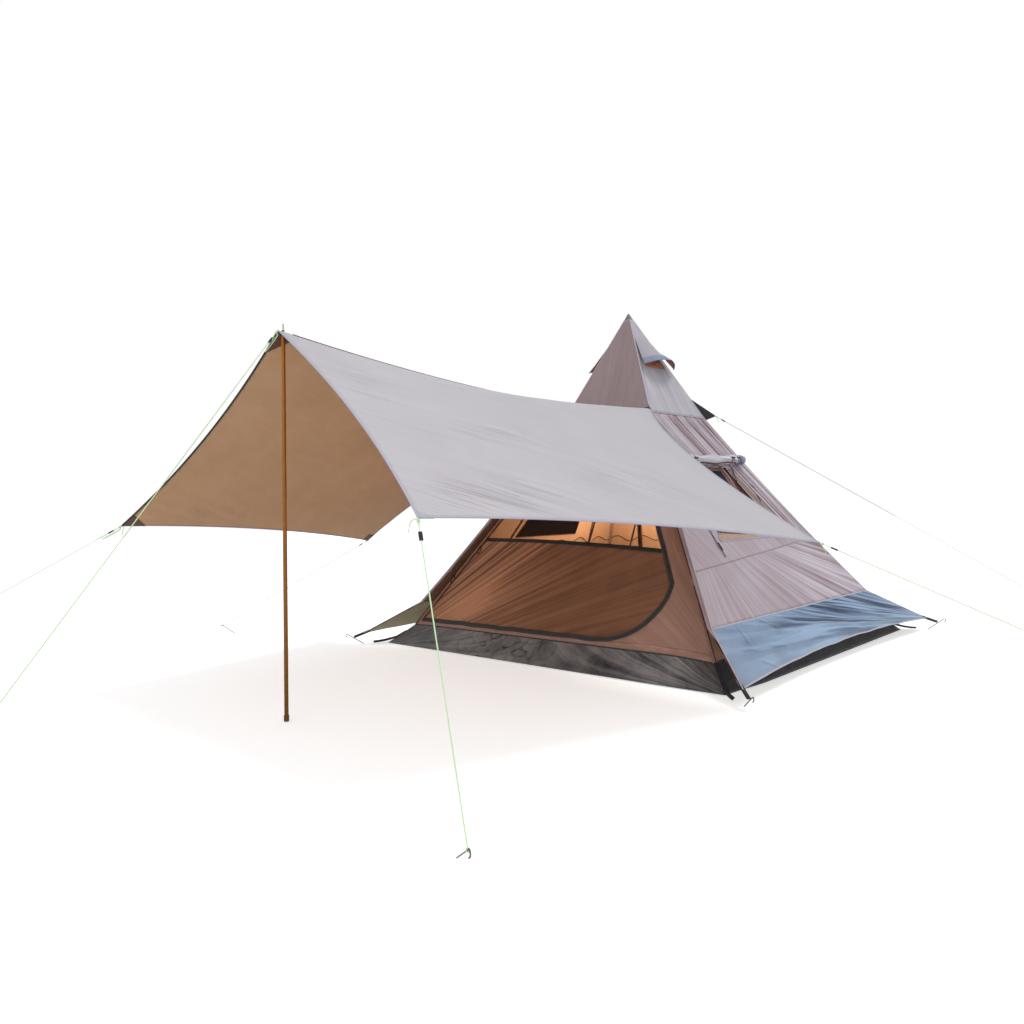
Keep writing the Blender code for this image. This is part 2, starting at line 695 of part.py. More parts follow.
def tub_wall(name, face, look, crumple):
    """A raised edge of the groundsheet, leaning in to the wall above it."""
    heights = (TUB_Z - SEAM_GAP, mix(FLOOR_THICKNESS, TUB_Z, 0.5), FLOOR_THICKNESS + FIT_GAP)
    if not crumple:
        return cloth(name, face_rows(face, heights[::2], (-1, 1), inner_r), look)

    def lift(share, z):
        middle = math.sin(math.pi * (z - heights[2]) / (heights[0] - heights[2]))
        wave = math.sin(math.pi * TUB_CRUMPLES * share) + 0.7 * math.sin(math.pi * 1.7 * TUB_CRUMPLES * share)
        return TUB_CRUMPLE * middle * wave * (1 - share * share)

    return cloth(name, face_rows(face, heights, spread(-1, 1, 31), inner_r, lift=lift), look)


def turned(name, profile, look, sides=POLE_SIDES):
    """A solid of revolution about Z on a closed profile of (radius, height) points."""
    shape = bmesh.new()
    rings = []
    for radius, z in profile:
        if radius == 0:
            rings.append([shape.verts.new((0, 0, z))] * sides)
            continue
        turn_by = 2 * math.pi / sides
        rings.append([shape.verts.new((radius * math.cos(k * turn_by), radius * math.sin(k * turn_by), z))
                      for k in range(sides)])
    for a, b in zip(rings, rings[1:]):
        for k in range(sides):
            corners = list(dict.fromkeys((a[k], a[k - 1], b[k - 1], b[k])))
            if len(corners) > 2:
                shape.faces.new(corners)
    return place(name, shape, look)


def lower_pole(name, foot_z, joint_z, radius, foot_r, look):
    """A tube with a rubber foot and a spigot that the upper tube slides over."""
    spigot = radius - POLE_WALL
    profile = ((0, foot_z), (foot_r - POLE_WALL, foot_z), (foot_r, foot_z + POLE_WALL))
    profile += ((foot_r, foot_z + FOOT_HEIGHT), (radius, foot_z + FOOT_HEIGHT), (radius, joint_z))
    profile += ((spigot, joint_z), (spigot, joint_z + SPIGOT_LENGTH), (0, joint_z + SPIGOT_LENGTH))
    return turned(name, profile, look)


def upper_pole(name, joint_z, top, radius, look):
    """A tube that is bored for the spigot below it and ends in the profile given as top."""
    bore = radius - POLE_WALL + FIT_GAP
    depth = joint_z + SPIGOT_LENGTH + FIT_GAP
    profile = ((0, depth), (bore, depth), (bore, joint_z + FIT_GAP), (radius, joint_z + FIT_GAP))
    return turned(name, profile + top, look)


def peak_cover(look):
    """The layered patch that closes the fly over the pole tip."""
    low = cap_top_z() + SEAM_GAP
    shape = bmesh.new()
    rings = []
    for z, r in ((low, CAP_TOP_R + CLOTH / 2), (PEAK_Z, PEAK_TIP_R)):
        rings.append([shape.verts.new(turn(face, -r, -r, z)) for face in range(4)])
    shape.faces.new(rings[0])
    shape.faces.new(rings[1][::-1])
    for k in range(4):
        shape.faces.new((rings[0][k], rings[0][k - 1], rings[1][k - 1], rings[1][k]))
    return place("peak_cover", shape, look)


def hollow_edge(start, end, depth, towards, share):
    """A point of an awning edge that is cut hollow, deepest in the middle, towards a point inside."""
    chord = (end - start).normalized()
    inward = towards - (start + end) / 2
    inward = (inward - chord * inward.dot(chord)).normalized()
    return start + (end - start) * share + inward * depth * 4 * share * (1 - share)


def awning_peak():
    """Top of the awning's ridge over the front pole, just clear of the pole's cone."""
    fall = (FRONT_POLE_Z - AWNING_FRONT_CORNER.z) / AWNING_FRONT_CORNER.x
    rise = AWNING_TIP_RISE + SPIKE_R * fall
    return Vector((0, -FRONT_POLE_OUT - AWNING_FRONT_LIP, FRONT_POLE_Z + rise))


def awning_rows(side):
    """The right half of the awning for side 1, the left half for side -1, from front to rear."""
    peak = awning_peak()
    centre = (peak + AWNING_RIDGE_END + AWNING_FRONT_CORNER + AWNING_REAR_CORNER) / 4
    along = spread(0, 1, 17)
    across = spread(0, HIP_POINT_SHARE, 4)[:-1] + spread(HIP_POINT_SHARE, 1, 12)

    def ridge(u):
        point = peak.lerp(AWNING_RIDGE_END, u)
        past = max(u - AWNING_FRONT_LIP / (peak - AWNING_RIDGE_END).length, 0)
        return point - Vector((0, 0, RIDGE_SAG * 4 * past * (1 - u)))

    def side_edge(u):
        return hollow_edge(AWNING_FRONT_CORNER, AWNING_REAR_CORNER, SIDE_CUT, centre, u)

    def front_edge(v):
        return hollow_edge(peak, AWNING_FRONT_CORNER, FRONT_CUT, centre, v)

    def rear_edge(v):
        if v < HIP_POINT_SHARE:
            return AWNING_RIDGE_END.lerp(AWNING_HIP_POINT, v / HIP_POINT_SHARE)
        share = (v - HIP_POINT_SHARE) / (1 - HIP_POINT_SHARE)
        return hollow_edge(AWNING_HIP_POINT, AWNING_REAR_CORNER, REAR_CUT, centre, share)

    rows = []
    for u in along:
        row = []
        for v in across:
            straight = ridge(u).lerp(side_edge(u), v) + front_edge(v).lerp(rear_edge(v), u)
            ends = ridge(0).lerp(side_edge(0), v).lerp(ridge(1).lerp(side_edge(1), v), u)
            point = straight - ends
            ripple = math.sin(2 * math.pi * AWNING_RIPPLES * u + 3 * v) * math.sin(math.pi * u)
            point.z += AWNING_RIPPLE * ripple * math.sin(math.pi * v) * v
            row.append(Vector((side * (point.x + FIT_GAP), point.y, point.z)))
        rows.append(row[::-1])
    return rows if side > 0 else [list(column) for column in zip(*rows)]


def awning(name, side, look):
    half = cloth(name, awning_rows(side), look)
    hole = turned("grommet", ((0, 0), (SPIKE_R + FIT_GAP, 0), (SPIKE_R + FIT_GAP, PEAK_Z), (0, PEAK_Z)), look)
    hole.location = (0, -FRONT_POLE_OUT, 0)
    join(half, hole, "DIFFERENCE")
    return half


def peg_frame(stake, towards):
    """A peg's tip, its direction up the shaft and the flat direction that it leans away in."""
    away = Vector((stake.x - towards.x, stake.y - towards.y, 0)).normalized()
    shaft = away * math.sin(PEG_LEAN) + Vector((0, 0, math.cos(PEG_LEAN)))
    return stake + Vector((0, 0, PEG_R * math.sin(PEG_LEAN))), shaft, away


def peg(name, stake, towards, look):
    """A round steel peg: a shaft that stands on its tip, with its hook turned over away from the tent."""
    tip, shaft, away = peg_frame(stake, towards)
    over = (away - shaft * away.dot(shaft)).normalized()
    top = tip + shaft * PEG_SHAFT
    points = [tip, tip + shaft * PEG_SHAFT / 2, top]
    for i in range(1, 6):
        angle = math.pi * i / 5
        points.append(top + over * PEG_HOOK_R * (1 - math.cos(angle)) + shaft * PEG_HOOK_R * math.sin(angle))
    points.append(points[-1] - shaft * PEG_RETURN)
    return rod(name, points, PEG_R, look)


def rod(name, points, radius, look):
    """A round rod or cord through a list of points."""
    data = bpy.data.curves.new(name, "CURVE")
    data.dimensions = "3D"
    data.bevel_depth = radius
    data.bevel_resolution = 2
    data.use_fill_caps = True
    spline = data.splines.new("POLY")
    spline.points.add(len(points) - 1)
    for slot, point in zip(spline.points, points):
        slot.co = (*point, 1.0)
    data.materials.append(look)
    made = bpy.data.objects.new(name, data)
    bpy.context.scene.collection.objects.link(made)
    return made


def line_ends(start, stake, square=False):
    """Both ends of a guy line: a hair off the cloth, whose edge may stand square, and off the peg."""
    tip, shaft, _ = peg_frame(stake, start)
    tie = tip + shaft * PEG_SHAFT * PEG_TIE_SHARE
    along = (tie - start).normalized()
    lean = abs(along.dot(shaft))
    back = (PEG_R + FIT_GAP + LINE_R * lean) / math.sqrt(1 - lean * lean)
    clear = (FIT_GAP + LINE_R * abs(along.z)) / math.hypot(along.x, along.y) if square else FIT_GAP
    return start + along * clear, tie - along * back


def guy_line(name, ends, look):
    top, bottom = ends
    return rod(name, [top.lerp(bottom, i / (LINE_POINTS - 1)) for i in range(LINE_POINTS)], LINE_R, look)


def runner_mesh(look):
    """A three-sided bar with rounded ends, bored along its length for the line."""
    shape = bmesh.new()
    bore = LINE_R + FIT_GAP
    rings = []
    for radius_x, radius_y, z in (
        (RUNNER_WIDTH / 2, RUNNER_THICKNESS / 2, -RUNNER_LENGTH / 2),
        (RUNNER_WIDTH / 2, RUNNER_THICKNESS / 2, RUNNER_LENGTH / 2),
        (bore, bore, RUNNER_LENGTH / 2),
        (bore, bore, -RUNNER_LENGTH / 2),
    ):
        ring = []
        for k in range(BORE_SIDES):
            angle = 2 * math.pi * (k + 0.5) / BORE_SIDES
            grow = 1 / math.cos(math.pi / BORE_SIDES)
            ring.append(shape.verts.new((radius_x * math.cos(angle) * grow, radius_y * math.sin(angle) * grow, z)))
        rings.append(ring)
    for a, b in zip(rings, rings[1:] + rings[:1]):
        for k in range(BORE_SIDES):
            shape.faces.new((a[k], a[k - 1], b[k - 1], b[k]))
    bmesh.ops.recalc_face_normals(shape, faces=shape.faces[:])
    data = bpy.data.meshes.new("runner")
    shape.to_mesh(data)
    shape.free()
    data.materials.append(look)
    return data


def runner(name, mesh, ends):
    """A runner on its line, a little below the line's top."""
    top, bottom = ends
    along = (bottom - top).normalized()
    made = bpy.data.objects.new(name, mesh)
    bpy.context.scene.collection.objects.link(made)
    made.location = top + along * RUNNER_PLACE
    made.rotation_euler = along.to_track_quat("Z", "Y").to_euler()
    return made


def guy_lines():
    """Each guy line's name, its top on the cloth, its peg's ground point and if its top edge stands square."""
    front_top = awning_peak() + Vector((0, -LINE_R, CLOTH))
    mirror, aside = Vector((-1, 1, 1)), Vector((FIT_GAP, 0, 0))
    right_corner, right_side = AWNING_FRONT_CORNER + aside, AWNING_REAR_CORNER + aside
    return (
        ("front", front_top, FRONT_STAKE, False),
        ("front_left", right_corner * mirror, FRONT_LEFT_STAKE, False),
        ("front_right", right_corner, FRONT_RIGHT_STAKE, False),
        ("side_left", right_side * mirror, SIDE_LEFT_STAKE, False),
        ("side_right", right_side, SIDE_RIGHT_STAKE, False),
        ("rear_right", tab_tip(1), REAR_STAKE, True),
        ("rear_left", tab_tip(-1), REAR_STAKE * mirror, True),
    )


def corner_pegs(look):
    """One peg through the strap at each corner of the fly."""
    for name, x, y in (("front_left", -1, -1), ("front_right", 1, -1), ("rear_right", 1, 1), ("rear_left", -1, 1)):
        out = Vector((x, y, 0)).normalized()
        end = Vector((x, y, 0)) * (HEM_R + STRAP_LENGTH / math.sqrt(2)) + Vector((0, 0, STRAP_END_Z))
        height = STRAP_END_Z - PEG_R * math.sin(PEG_LEAN)
        reach = (PEG_R + FIT_GAP + CLOTH / 10) / math.cos(PEG_LEAN) - height * math.tan(PEG_LEAN)
        stake = end + out * reach
        stake.z = 0
        peg(f"corner_peg_{name}", stake, Vector((0, 0, 0)), look)


LOOKS = {}


def build():
    clear_scene()
    LOOKS.update(
        fly=finish("fly_cloth", (0.47, 0.42, 0.45), 0.75),
        skirt=finish("skirt_cloth", (0.27, 0.37, 0.50), 0.7),
        inner=finish("inner_cloth", (0.28, 0.14, 0.07), 0.8),
        net=finish("door_net", (0.05, 0.04, 0.04), 0.9),
        floor=finish("groundsheet", (0.08, 0.08, 0.09), 0.6),
        awning=finish("awning_cloth", (0.58, 0.54, 0.58), 0.75),
        dark=finish("dark_webbing", (0.03, 0.03, 0.035), 0.7),
        bronze=finish("bronze_tube", (0.36, 0.16, 0.04), 0.35, 0.8),
        steel=finish("peg_steel", (0.45, 0.45, 0.47), 0.35, 0.9),
        line=finish("guy_line", (0.62, 0.85, 0.60), 0.7),
        plastic=finish("runner_plastic", (0.02, 0.02, 0.02), 0.45),
        flap=finish("flap_cloth", (0.62, 0.66, 0.70), 0.75),
    )
    fly, inner = LOOKS["fly"], LOOKS["inner"]
    sides = (("right", RIGHT), ("left", LEFT))

    front_cap("fly_cap_front", fly)
    rear_panel("fly_rear", fly)
    for name, face in sides:
        join(fly_cap(f"fly_cap_{name}", face, fly), cap_prism(face, VENT_WIDTH, VENT_HEIGHT, VENT_SILL_Z), "DIFFERENCE")
        wall = fly_wall(f"fly_wall_{name}", face, fly)
        hood(f"vent_hood_{name}", face, fly)
        vent_prop(f"vent_prop_{name}", face, LOOKS["plastic"])
        window_roll(f"window_roll_{name}", face, wall, LOOKS["flap"])
        join(wall, window_cutter(face), "DIFFERENCE")
        skirt(f"fly_skirt_{name}", face, LOOKS["skirt"], straps=True)
        jamb(f"fly_jamb_{name}", 1 if face == RIGHT else -1, fly)
    skirt("fly_skirt_rear", REAR, LOOKS["skirt"], straps=False)

    inner_front("inner_wall_front", inner)
    for name, face in (*sides, ("rear", REAR)):
        inner_wall(f"inner_wall_{name}", face, inner)
    cloth("door_panel", panel_rows(), inner)
    cloth("door_net", net_rows(), LOOKS["net"])
    zip_slider("door_zip_slider", LOOKS["plastic"])
    groundsheet("groundsheet", LOOKS["floor"])
    for name, face in (*sides, ("rear", REAR), ("front", FRONT)):
        tub_wall(f"tub_wall_{name}", face, LOOKS["floor"], crumple=face == FRONT)

    bronze = LOOKS["bronze"]
    foot_z = FLOOR_THICKNESS + FIT_GAP
    peak_base = cap_top_z()
    lower_pole("centre_pole_lower", foot_z, CENTRE_POLE_JOINT_Z, CENTRE_POLE_R, CENTRE_FOOT_R, bronze)
    tip = ((CENTRE_POLE_R, peak_base - CONE_HEIGHT), (SPIKE_R, peak_base), (0, peak_base))
    upper_pole("centre_pole_upper", CENTRE_POLE_JOINT_Z, tip, CENTRE_POLE_R, bronze)
    cone = ((FRONT_POLE_R, FRONT_POLE_Z - CONE_HEIGHT), (SPIKE_R, FRONT_POLE_Z))
    spike = ((SPIKE_R, FRONT_POLE_Z + SPIKE_LENGTH), (0, FRONT_POLE_Z + SPIKE_LENGTH))
    low = lower_pole("front_pole_lower", 0.0, FRONT_POLE_JOINT_Z, FRONT_POLE_R, FRONT_FOOT_R, bronze)
    high = upper_pole("front_pole_upper", FRONT_POLE_JOINT_Z, cone + spike, FRONT_POLE_R, bronze)
    for tube in (low, high):
        tube.location.y = -FRONT_POLE_OUT

    awning("awning_right", 1, LOOKS["awning"])
    awning("awning_left", -1, LOOKS["awning"])
    shared = runner_mesh(LOOKS["plastic"])
    for name, start, stake, square in guy_lines():
        ends = line_ends(start, stake, square)
        guy_line(f"guy_line_{name}", ends, LOOKS["line"])
        runner(f"runner_{name}", shared, ends)
        peg(f"guy_peg_{name}", stake, start, LOOKS["steel"])
    corner_pegs(LOOKS["steel"])


build()
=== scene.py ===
"""Looks of the pyramid tent: its cloth, net, seams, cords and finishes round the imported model."""
from math import atan2, copysign, cos, exp, hypot, pi, radians, sin, sqrt

import bmesh
import bpy
from mathutils import Matrix, Vector, noise


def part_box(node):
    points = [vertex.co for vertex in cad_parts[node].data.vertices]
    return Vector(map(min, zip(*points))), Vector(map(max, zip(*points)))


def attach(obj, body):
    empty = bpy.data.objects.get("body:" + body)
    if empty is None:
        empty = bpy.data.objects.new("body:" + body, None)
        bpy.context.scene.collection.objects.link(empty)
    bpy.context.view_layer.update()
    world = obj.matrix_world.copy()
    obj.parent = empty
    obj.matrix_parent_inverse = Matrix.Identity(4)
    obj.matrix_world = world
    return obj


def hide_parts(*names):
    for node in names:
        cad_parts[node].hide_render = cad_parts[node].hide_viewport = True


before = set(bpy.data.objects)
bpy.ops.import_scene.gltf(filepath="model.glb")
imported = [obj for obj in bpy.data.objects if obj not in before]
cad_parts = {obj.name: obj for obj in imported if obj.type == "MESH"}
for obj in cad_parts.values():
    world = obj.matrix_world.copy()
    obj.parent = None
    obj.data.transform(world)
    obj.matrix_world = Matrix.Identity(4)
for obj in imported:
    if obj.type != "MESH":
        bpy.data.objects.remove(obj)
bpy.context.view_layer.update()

ROOT = "tent"
FRONT, RIGHT, REAR, LEFT = range(4)
NAMES = {FRONT: "front", RIGHT: "right", REAR: "rear", LEFT: "left"}
UP = Vector((0, 0, 1))
SIDES = ((RIGHT, "right"), (LEFT, "left"))
HANDS = ((1, "right"), (-1, "left"))

# The model's sizes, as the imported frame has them
HEM_Z, HEM_R = 0.085, 1.60
SKIRT_Z, SKIRT_R = 0.32, 1.27
CAP_Z, CAP_R = 1.75, 0.41
PEAK_Z = 2.65
HIP_BOW = 0.02
HEM_CUT = 0.07
SKIRT_DEPTH, SKIRT_REACH = 0.405, 1.45  # down its slope, and half its length
FLOOR_R = 1.45
TUB_Z, TUB_R, TUB_REACH = 0.15, 1.30, 1.40
SHOULDER_R = 0.335
INNER_TOP_Z, INNER_TOP_R = 2.48, 0.022
DOOR_SILL_Z, DOOR_TOP_Z = 0.19, 1.58
DOOR_LEFT_MARGIN = 0.045
DOOR_CORNER_X, DOOR_WIDEST_Z = 0.45, 0.55
WIDEST_MARGIN, TOP_MARGIN = 0.1537, 0.1375  # from the door's right edge to the wall's, where widest and at its top
BAND_Z, BAND_TILT, BAND_SAG = 0.79, 0.043, 0.018
WINDOW_SILL_Z, WINDOW_TOP_Z, WINDOW_SILL_W, WINDOW_TOP_W = 0.79, 1.33, 1.04, 0.52
ROLL_LENGTH, ROLL_R, ROLL_TILT = 1.10, 0.036, 0.04
HOOD_TOP_Z, HOOD_LENGTH, HOOD_TOP_W, HOOD_BRIM_W = 2.42, 0.30, 0.19, 0.44
HOOD_LIFT, HOOD_END_LIFT = 0.13, 0.035
VENT_SILL_Z, VENT_W, VENT_H = 2.165, 0.30, 0.095
TAB_H, TAB_TIP_Z = 0.17, 1.77
POLE_Y, POLE_Z = -3.29, 2.0
LIP = 0.03  # how far the awning reaches past its pole
TAB_REACH = 0.085 / sqrt(2)
TAPE_LIFT = 0.0006
GAP, DOOR_GAP = 0.0005, 0.0008  # half of what is left open at a seam
# The awning's right half: its front corner, side corner, corner at the cap, and the ridge's rear end
AWN_C = Vector((1.402, -3.595, 1.009))
AWN_D = Vector((1.916, -1.301, 0.819))
AWN_T = Vector((0.43, -0.44, 1.765))
AWN_F = Vector((0.0, -0.432, 1.800))
RIDGE_SAG, FRONT_CUT, SIDE_CUT, REAR_CUT = 0.055, 0.075, 0.07, 0.20
T_SHARE = 0.2  # the part of the rear edge that lies along the cap


def mix(a, b, t):
    return a + (b - a) * t


def on_profile(profile, z):
    for (z0, r0), (z1, r1) in zip(profile, profile[1:]):
        if z <= z1:
            return mix(r0, r1, (z - z0) / (z1 - z0))
    return profile[-1][1]


def skirt_rz(down):
    """Half width and height of the skirt's plane, down it from 0 to 1."""
    return mix(SKIRT_R, HEM_R, down), mix(SKIRT_Z, HEM_Z, down)


def fly_r(z):
    """Half width of the fly at a height; its hips bow in a little between skirt and cap."""
    t = min(max((z - SKIRT_Z) / (CAP_Z - SKIRT_Z), 0), 1)
    straight = on_profile(((HEM_Z, HEM_R), (SKIRT_Z, SKIRT_R), (CAP_Z, CAP_R), (PEAK_Z, 0)), z)
    return straight - HIP_BOW * 4 * t * (1 - t)


def inner_r(z):
    return on_profile(((0, FLOOR_R), (TUB_Z, TUB_R), (CAP_Z, SHOULDER_R), (INNER_TOP_Z, INNER_TOP_R)), z)


def turn(face, x, y, z):
    return Matrix.Rotation(face * pi / 2, 3, "Z") @ Vector((x, y, z))


def hand(face):
    """-1 on the left face, which mirrors the right one, and 1 on the others."""
    return -1 if face == LEFT else 1


def mirror(p, sign=-1):
    return Vector((p.x * sign, p.y, p.z))


def on_hip(sx, sy, r, z):
    return Vector((sx * r, sy * r, z))


def along_edges(corners, shares):
    """Points (a, b) along each side of a polygon, at shares of its length."""
    return [(mix(a0, a1, t), mix(b0, b1, t)) for (a0, b0), (a1, b1) in zip(corners, corners[1:] + corners[:1])
            for t in shares]


def hump(t):
    """0 at both ends of 0 to 1, and 1 in the middle."""
    return sin(pi * t)


def bell(x, width):
    return exp(-(x / width) ** 2)


def rearward(face, share):
    """A share across a side face, counted towards the rear."""
    return share if face == RIGHT else 1 - share


def spread(a, b, n):
    return [mix(a, b, i / (n - 1)) for i in range(n)]


def srgb(colour):
    return tuple((c / 255) ** 2.2 for c in colour) + (1.0,)


# ---- materials ----
WEAVE, NET_MESH = 0.0016, 0.0022
BLACK = (0, 0, 0, 1)


class Graph:
    """Short calls that add nodes to the tree of a material or a world."""

    def __init__(self, owner):
        owner.use_nodes = True
        self.owner, self.tree = owner, owner.node_tree

    def plug(self, made, values):
        """Links each input to a socket, or gives it a value of its own."""
        for key, value in values.items():
            if isinstance(value, bpy.types.NodeSocket):
                self.tree.links.new(value, made.inputs[key])
            else:
                made.inputs[key].default_value = value

    def node(self, kind, values=None, **settings):
        made = self.tree.nodes.new("ShaderNode" + kind)
        for key, value in settings.items():
            setattr(made, key, value)
        self.plug(made, values or {})
        return made

    def calc(self, operation, a, b=0.0):
        return self.node("Math", {0: a, 1: b}, operation=operation).outputs[0]

    def times(self, a, b):
        return self.calc("MULTIPLY", a, b)

    def blend(self, share, a, b, kind="MIX"):
        return self.node("Mix", {0: share, 6: a, 7: b}, data_type="RGBA", blend_type=kind).outputs[2]

    def ramp(self, value, to_low, to_high, low=0.0, high=1.0, kind="LINEAR"):
        return self.node("MapRange", {"Value": value, "From Min": low, "From Max": high, "To Min": to_low,
                                      "To Max": to_high}, interpolation_type=kind).outputs[0]

    def uv(self, name):
        return self.node("UVMap", uv_map=name).outputs[0]

    def layer(self, name):
        return self.node("Attribute", attribute_name=name).outputs["Fac"]

    def spots(self, place, size, detail=3.0, distortion=0.0, scale=(1, 1)):
        mapped = self.node("Mapping", {"Vector": place, "Scale": (*scale, 1.0)}).outputs[0]
        return self.node("TexNoise", {"Vector": mapped, "Scale": size, "Detail": detail,
                                      "Distortion": distortion}).outputs["Fac"]

    def threads(self, place, period, direction, **more):
        """Stripes that are a period apart, as threads or ribs are."""
        return self.node("TexWave", {"Vector": place, "Scale": 2 * pi / 20 / period, **more},
                         bands_direction=direction).outputs["Fac"]

    def bump(self, strength, distance, height, **under):
        return self.node("Bump", {"Strength": strength, "Distance": distance, "Height": height,
                                  **under}).outputs[0]

    def seen(self):
        """1 for what the camera sees, straight or in a gloss or through glass, and 0 for other light."""
        path = self.node("LightPath").outputs
        seen = self.calc("MAXIMUM", path["Is Camera Ray"], path["Is Glossy Ray"])
        return self.calc("MAXIMUM", seen, path["Is Transmission Ray"])

    def surface(self, values):
        self.plug(self.tree.nodes["Principled BSDF"], values)

    def show(self, made):
        self.tree.links.new(made.outputs[0], self.tree.nodes["Material Output"].inputs["Surface"])


def material(name):
    return Graph(bpy.data.materials.new(name))


def cloth(name, light, dark, crease=(3.0, 0.7), crease_depth=0.012, through=0.0, rough=0.72, painted_fold_shading=0.25,
          through_colour=None, lines=0.0, crumples=0.25, middle=0.6, mottling=0.18, by_amount=False, lift=0.0,
          shaded=False):
    """Woven cloth: fine weave, soft mottling, straight creases along the piece's fan map, and sharp fold lines.
    The creases are bumped and also get painted light and shade, and the fold lines get painted shade.

    by_amount and shaded read the layers that grid() paints, lift paints the cloth lighter where its amount is high
    (darker with a negative lift), and through lets light come through the cloth."""
    g = material(name)
    light, dark = srgb(light), srgb(dark)
    metres, fan = g.uv("metres"), g.uv("fan")
    mottle = g.spots(metres, 2.2, 4.0)
    crumple = g.spots(metres, 14.0, 3.0, 0.4)
    broad = g.spots(fan, 5.0, 2.0, scale=crease)
    fine = g.spots(fan, 5.0, 1.5, scale=(crease[0] * 2.7, crease[1] * 1.2))
    woven = g.times(*(g.threads(metres, WEAVE, way, Distortion=0.4, Detail=1.0) for way in "XY"))
    folds = g.calc("ADD", g.times(broad, 0.55), g.times(fine, 0.45))
    pleat = g.ramp(folds, -0.5, 0.5, 0.36, 0.64, "SMOOTHSTEP")
    crest = g.calc("ABSOLUTE", g.calc("SUBTRACT", fine, 0.5))
    crest = g.ramp(crest, 1.0, 0.0, 0.0, 0.045, "SMOOTHSTEP")
    # The folds' painted light and shade
    share = painted_fold_shading
    if by_amount:
        amount = g.layer("amount")
        share = g.times(amount, painted_fold_shading)
        crest = g.times(crest, amount)
    soft = g.ramp(mottle, middle - mottling / 2, middle + mottling / 2, 0.3, 0.7)
    tone = g.calc("ADD", soft, g.times(pleat, share))
    # A painted sheen where lift is above 0 and painted shade where it is below 0, growing with the amount
    if lift:
        tone = g.calc("ADD", tone, g.times(g.calc("SUBTRACT", amount, 0.5), lift))
    # The shade layer: painted shade, and a painted highlight where it is below 0
    if shaded:
        tone = g.calc("SUBTRACT", tone, g.layer("shade"))
    colour = g.blend(tone, dark, light)
    # Painted shade along the sharp fold lines
    if lines:
        deep = tuple(c * 0.62 for c in dark[:3]) + (1.0,)
        colour = g.blend(g.times(crest, lines), colour, deep)
    colour = g.blend(g.times(woven, 0.10), colour, BLACK)
    height = g.calc("SUBTRACT", folds, g.times(crest, 0.10))
    if by_amount:
        height = g.times(height, amount)
    normal = g.bump(0.7, crease_depth, height)
    normal = g.bump(crumples, 0.004, crumple, Normal=normal)
    normal = g.bump(0.4, 0.0003, woven, Normal=normal)
    g.surface({"Base Color": colour, "Normal": normal, "Roughness": rough, "Sheen Weight": 0.15,
               "Specular IOR Level": 0.3})
    if through:
        passed = srgb(through_colour) if through_colour else colour
        glow = g.node("BsdfTranslucent", {"Normal": normal, "Color": passed})
        g.show(g.node("MixShader", {0: through, 1: g.tree.nodes["Principled BSDF"].outputs[0],
                                    2: glow.outputs[0]}))
    return g.owner


def net(name, colour, alpha):
    """Insect net: a fine square mesh, whose holes show what is behind it."""
    g = material(name)
    metres = g.uv("metres")
    woven = g.calc("MAXIMUM", *(g.threads(metres, NET_MESH, way) for way in "XY"))
    shade = g.blend(1.0, srgb(colour), g.ramp(woven, 0.75, 1.15), "MULTIPLY")
    g.surface({"Base Color": shade, "Roughness": 0.8, "Alpha": alpha})
    return g.owner


def webbing(name, colour, period=0.004, rough=0.75):
    """Ribbed webbing or tape, with a rib across it every few millimetres."""
    g = material(name)
    metres = g.uv("metres")
    rib = g.threads(metres, period, "Y", Distortion=0.5)
    worn = g.spots(metres, 30.0)
    shade = g.blend(1.0, srgb(colour), g.ramp(worn, 0.7, 1.3), "MULTIPLY")
    shade = g.blend(g.times(rib, 0.2), shade, BLACK)
    g.surface({"Base Color": shade, "Normal": g.bump(0.6, 0.0006, rib), "Roughness": rough})
    return g.owner


def solid(name, light, dark, rough=0.4, metal=0.0, size=40.0, axis=None, scratch=0.0, tip=None):
    """Metal or plastic with a slight change of colour and polish over it, and a steel tip. Given an axis, it is
    darker down it towards the foot, a painted shade.
    """
    g = material(name)
    place = g.node("TexCoord").outputs["Object"]
    tone = spots = g.node("TexNoise", {"Vector": place, "Scale": size, "Detail": 4.0}).outputs["Fac"]
    # Darker down the axis towards the foot: painted shade
    if axis:
        height = g.node("SeparateXYZ", {0: place}).outputs[2]
        rise = g.ramp(height, 0.0, 1.0, *axis)
        tone = g.times(spots, 0.35)
        tone = g.calc("ADD", tone, g.times(rise, 0.65))
    colour = g.blend(tone, srgb(dark), srgb(light))
    if tip:
        colour = g.blend(g.calc("GREATER_THAN", height, tip + 0.004), colour, srgb((150, 152, 160)))
    g.surface({"Base Color": colour, "Roughness": g.ramp(spots, rough * 0.8, rough * 1.25), "Metallic": metal})
    if scratch:
        g.surface({"Normal": g.bump(0.3, scratch, spots)})
    return g.owner


def cord_material(name, colour, fleck):
    """Braided cord: slanting strands with a paler fleck."""
    g = material(name)
    place = g.node("TexCoord").outputs["Object"]
    braid = g.node("TexWave", {"Vector": place, "Scale": 90.0, "Distortion": 1.5},
                   bands_direction="DIAGONAL").outputs["Fac"]
    shade = g.blend(g.times(braid, 0.35), srgb(colour), srgb(fleck))
    g.surface({"Base Color": shade, "Normal": g.bump(0.5, 0.0005, braid), "Roughness": 0.65})
    return g.owner


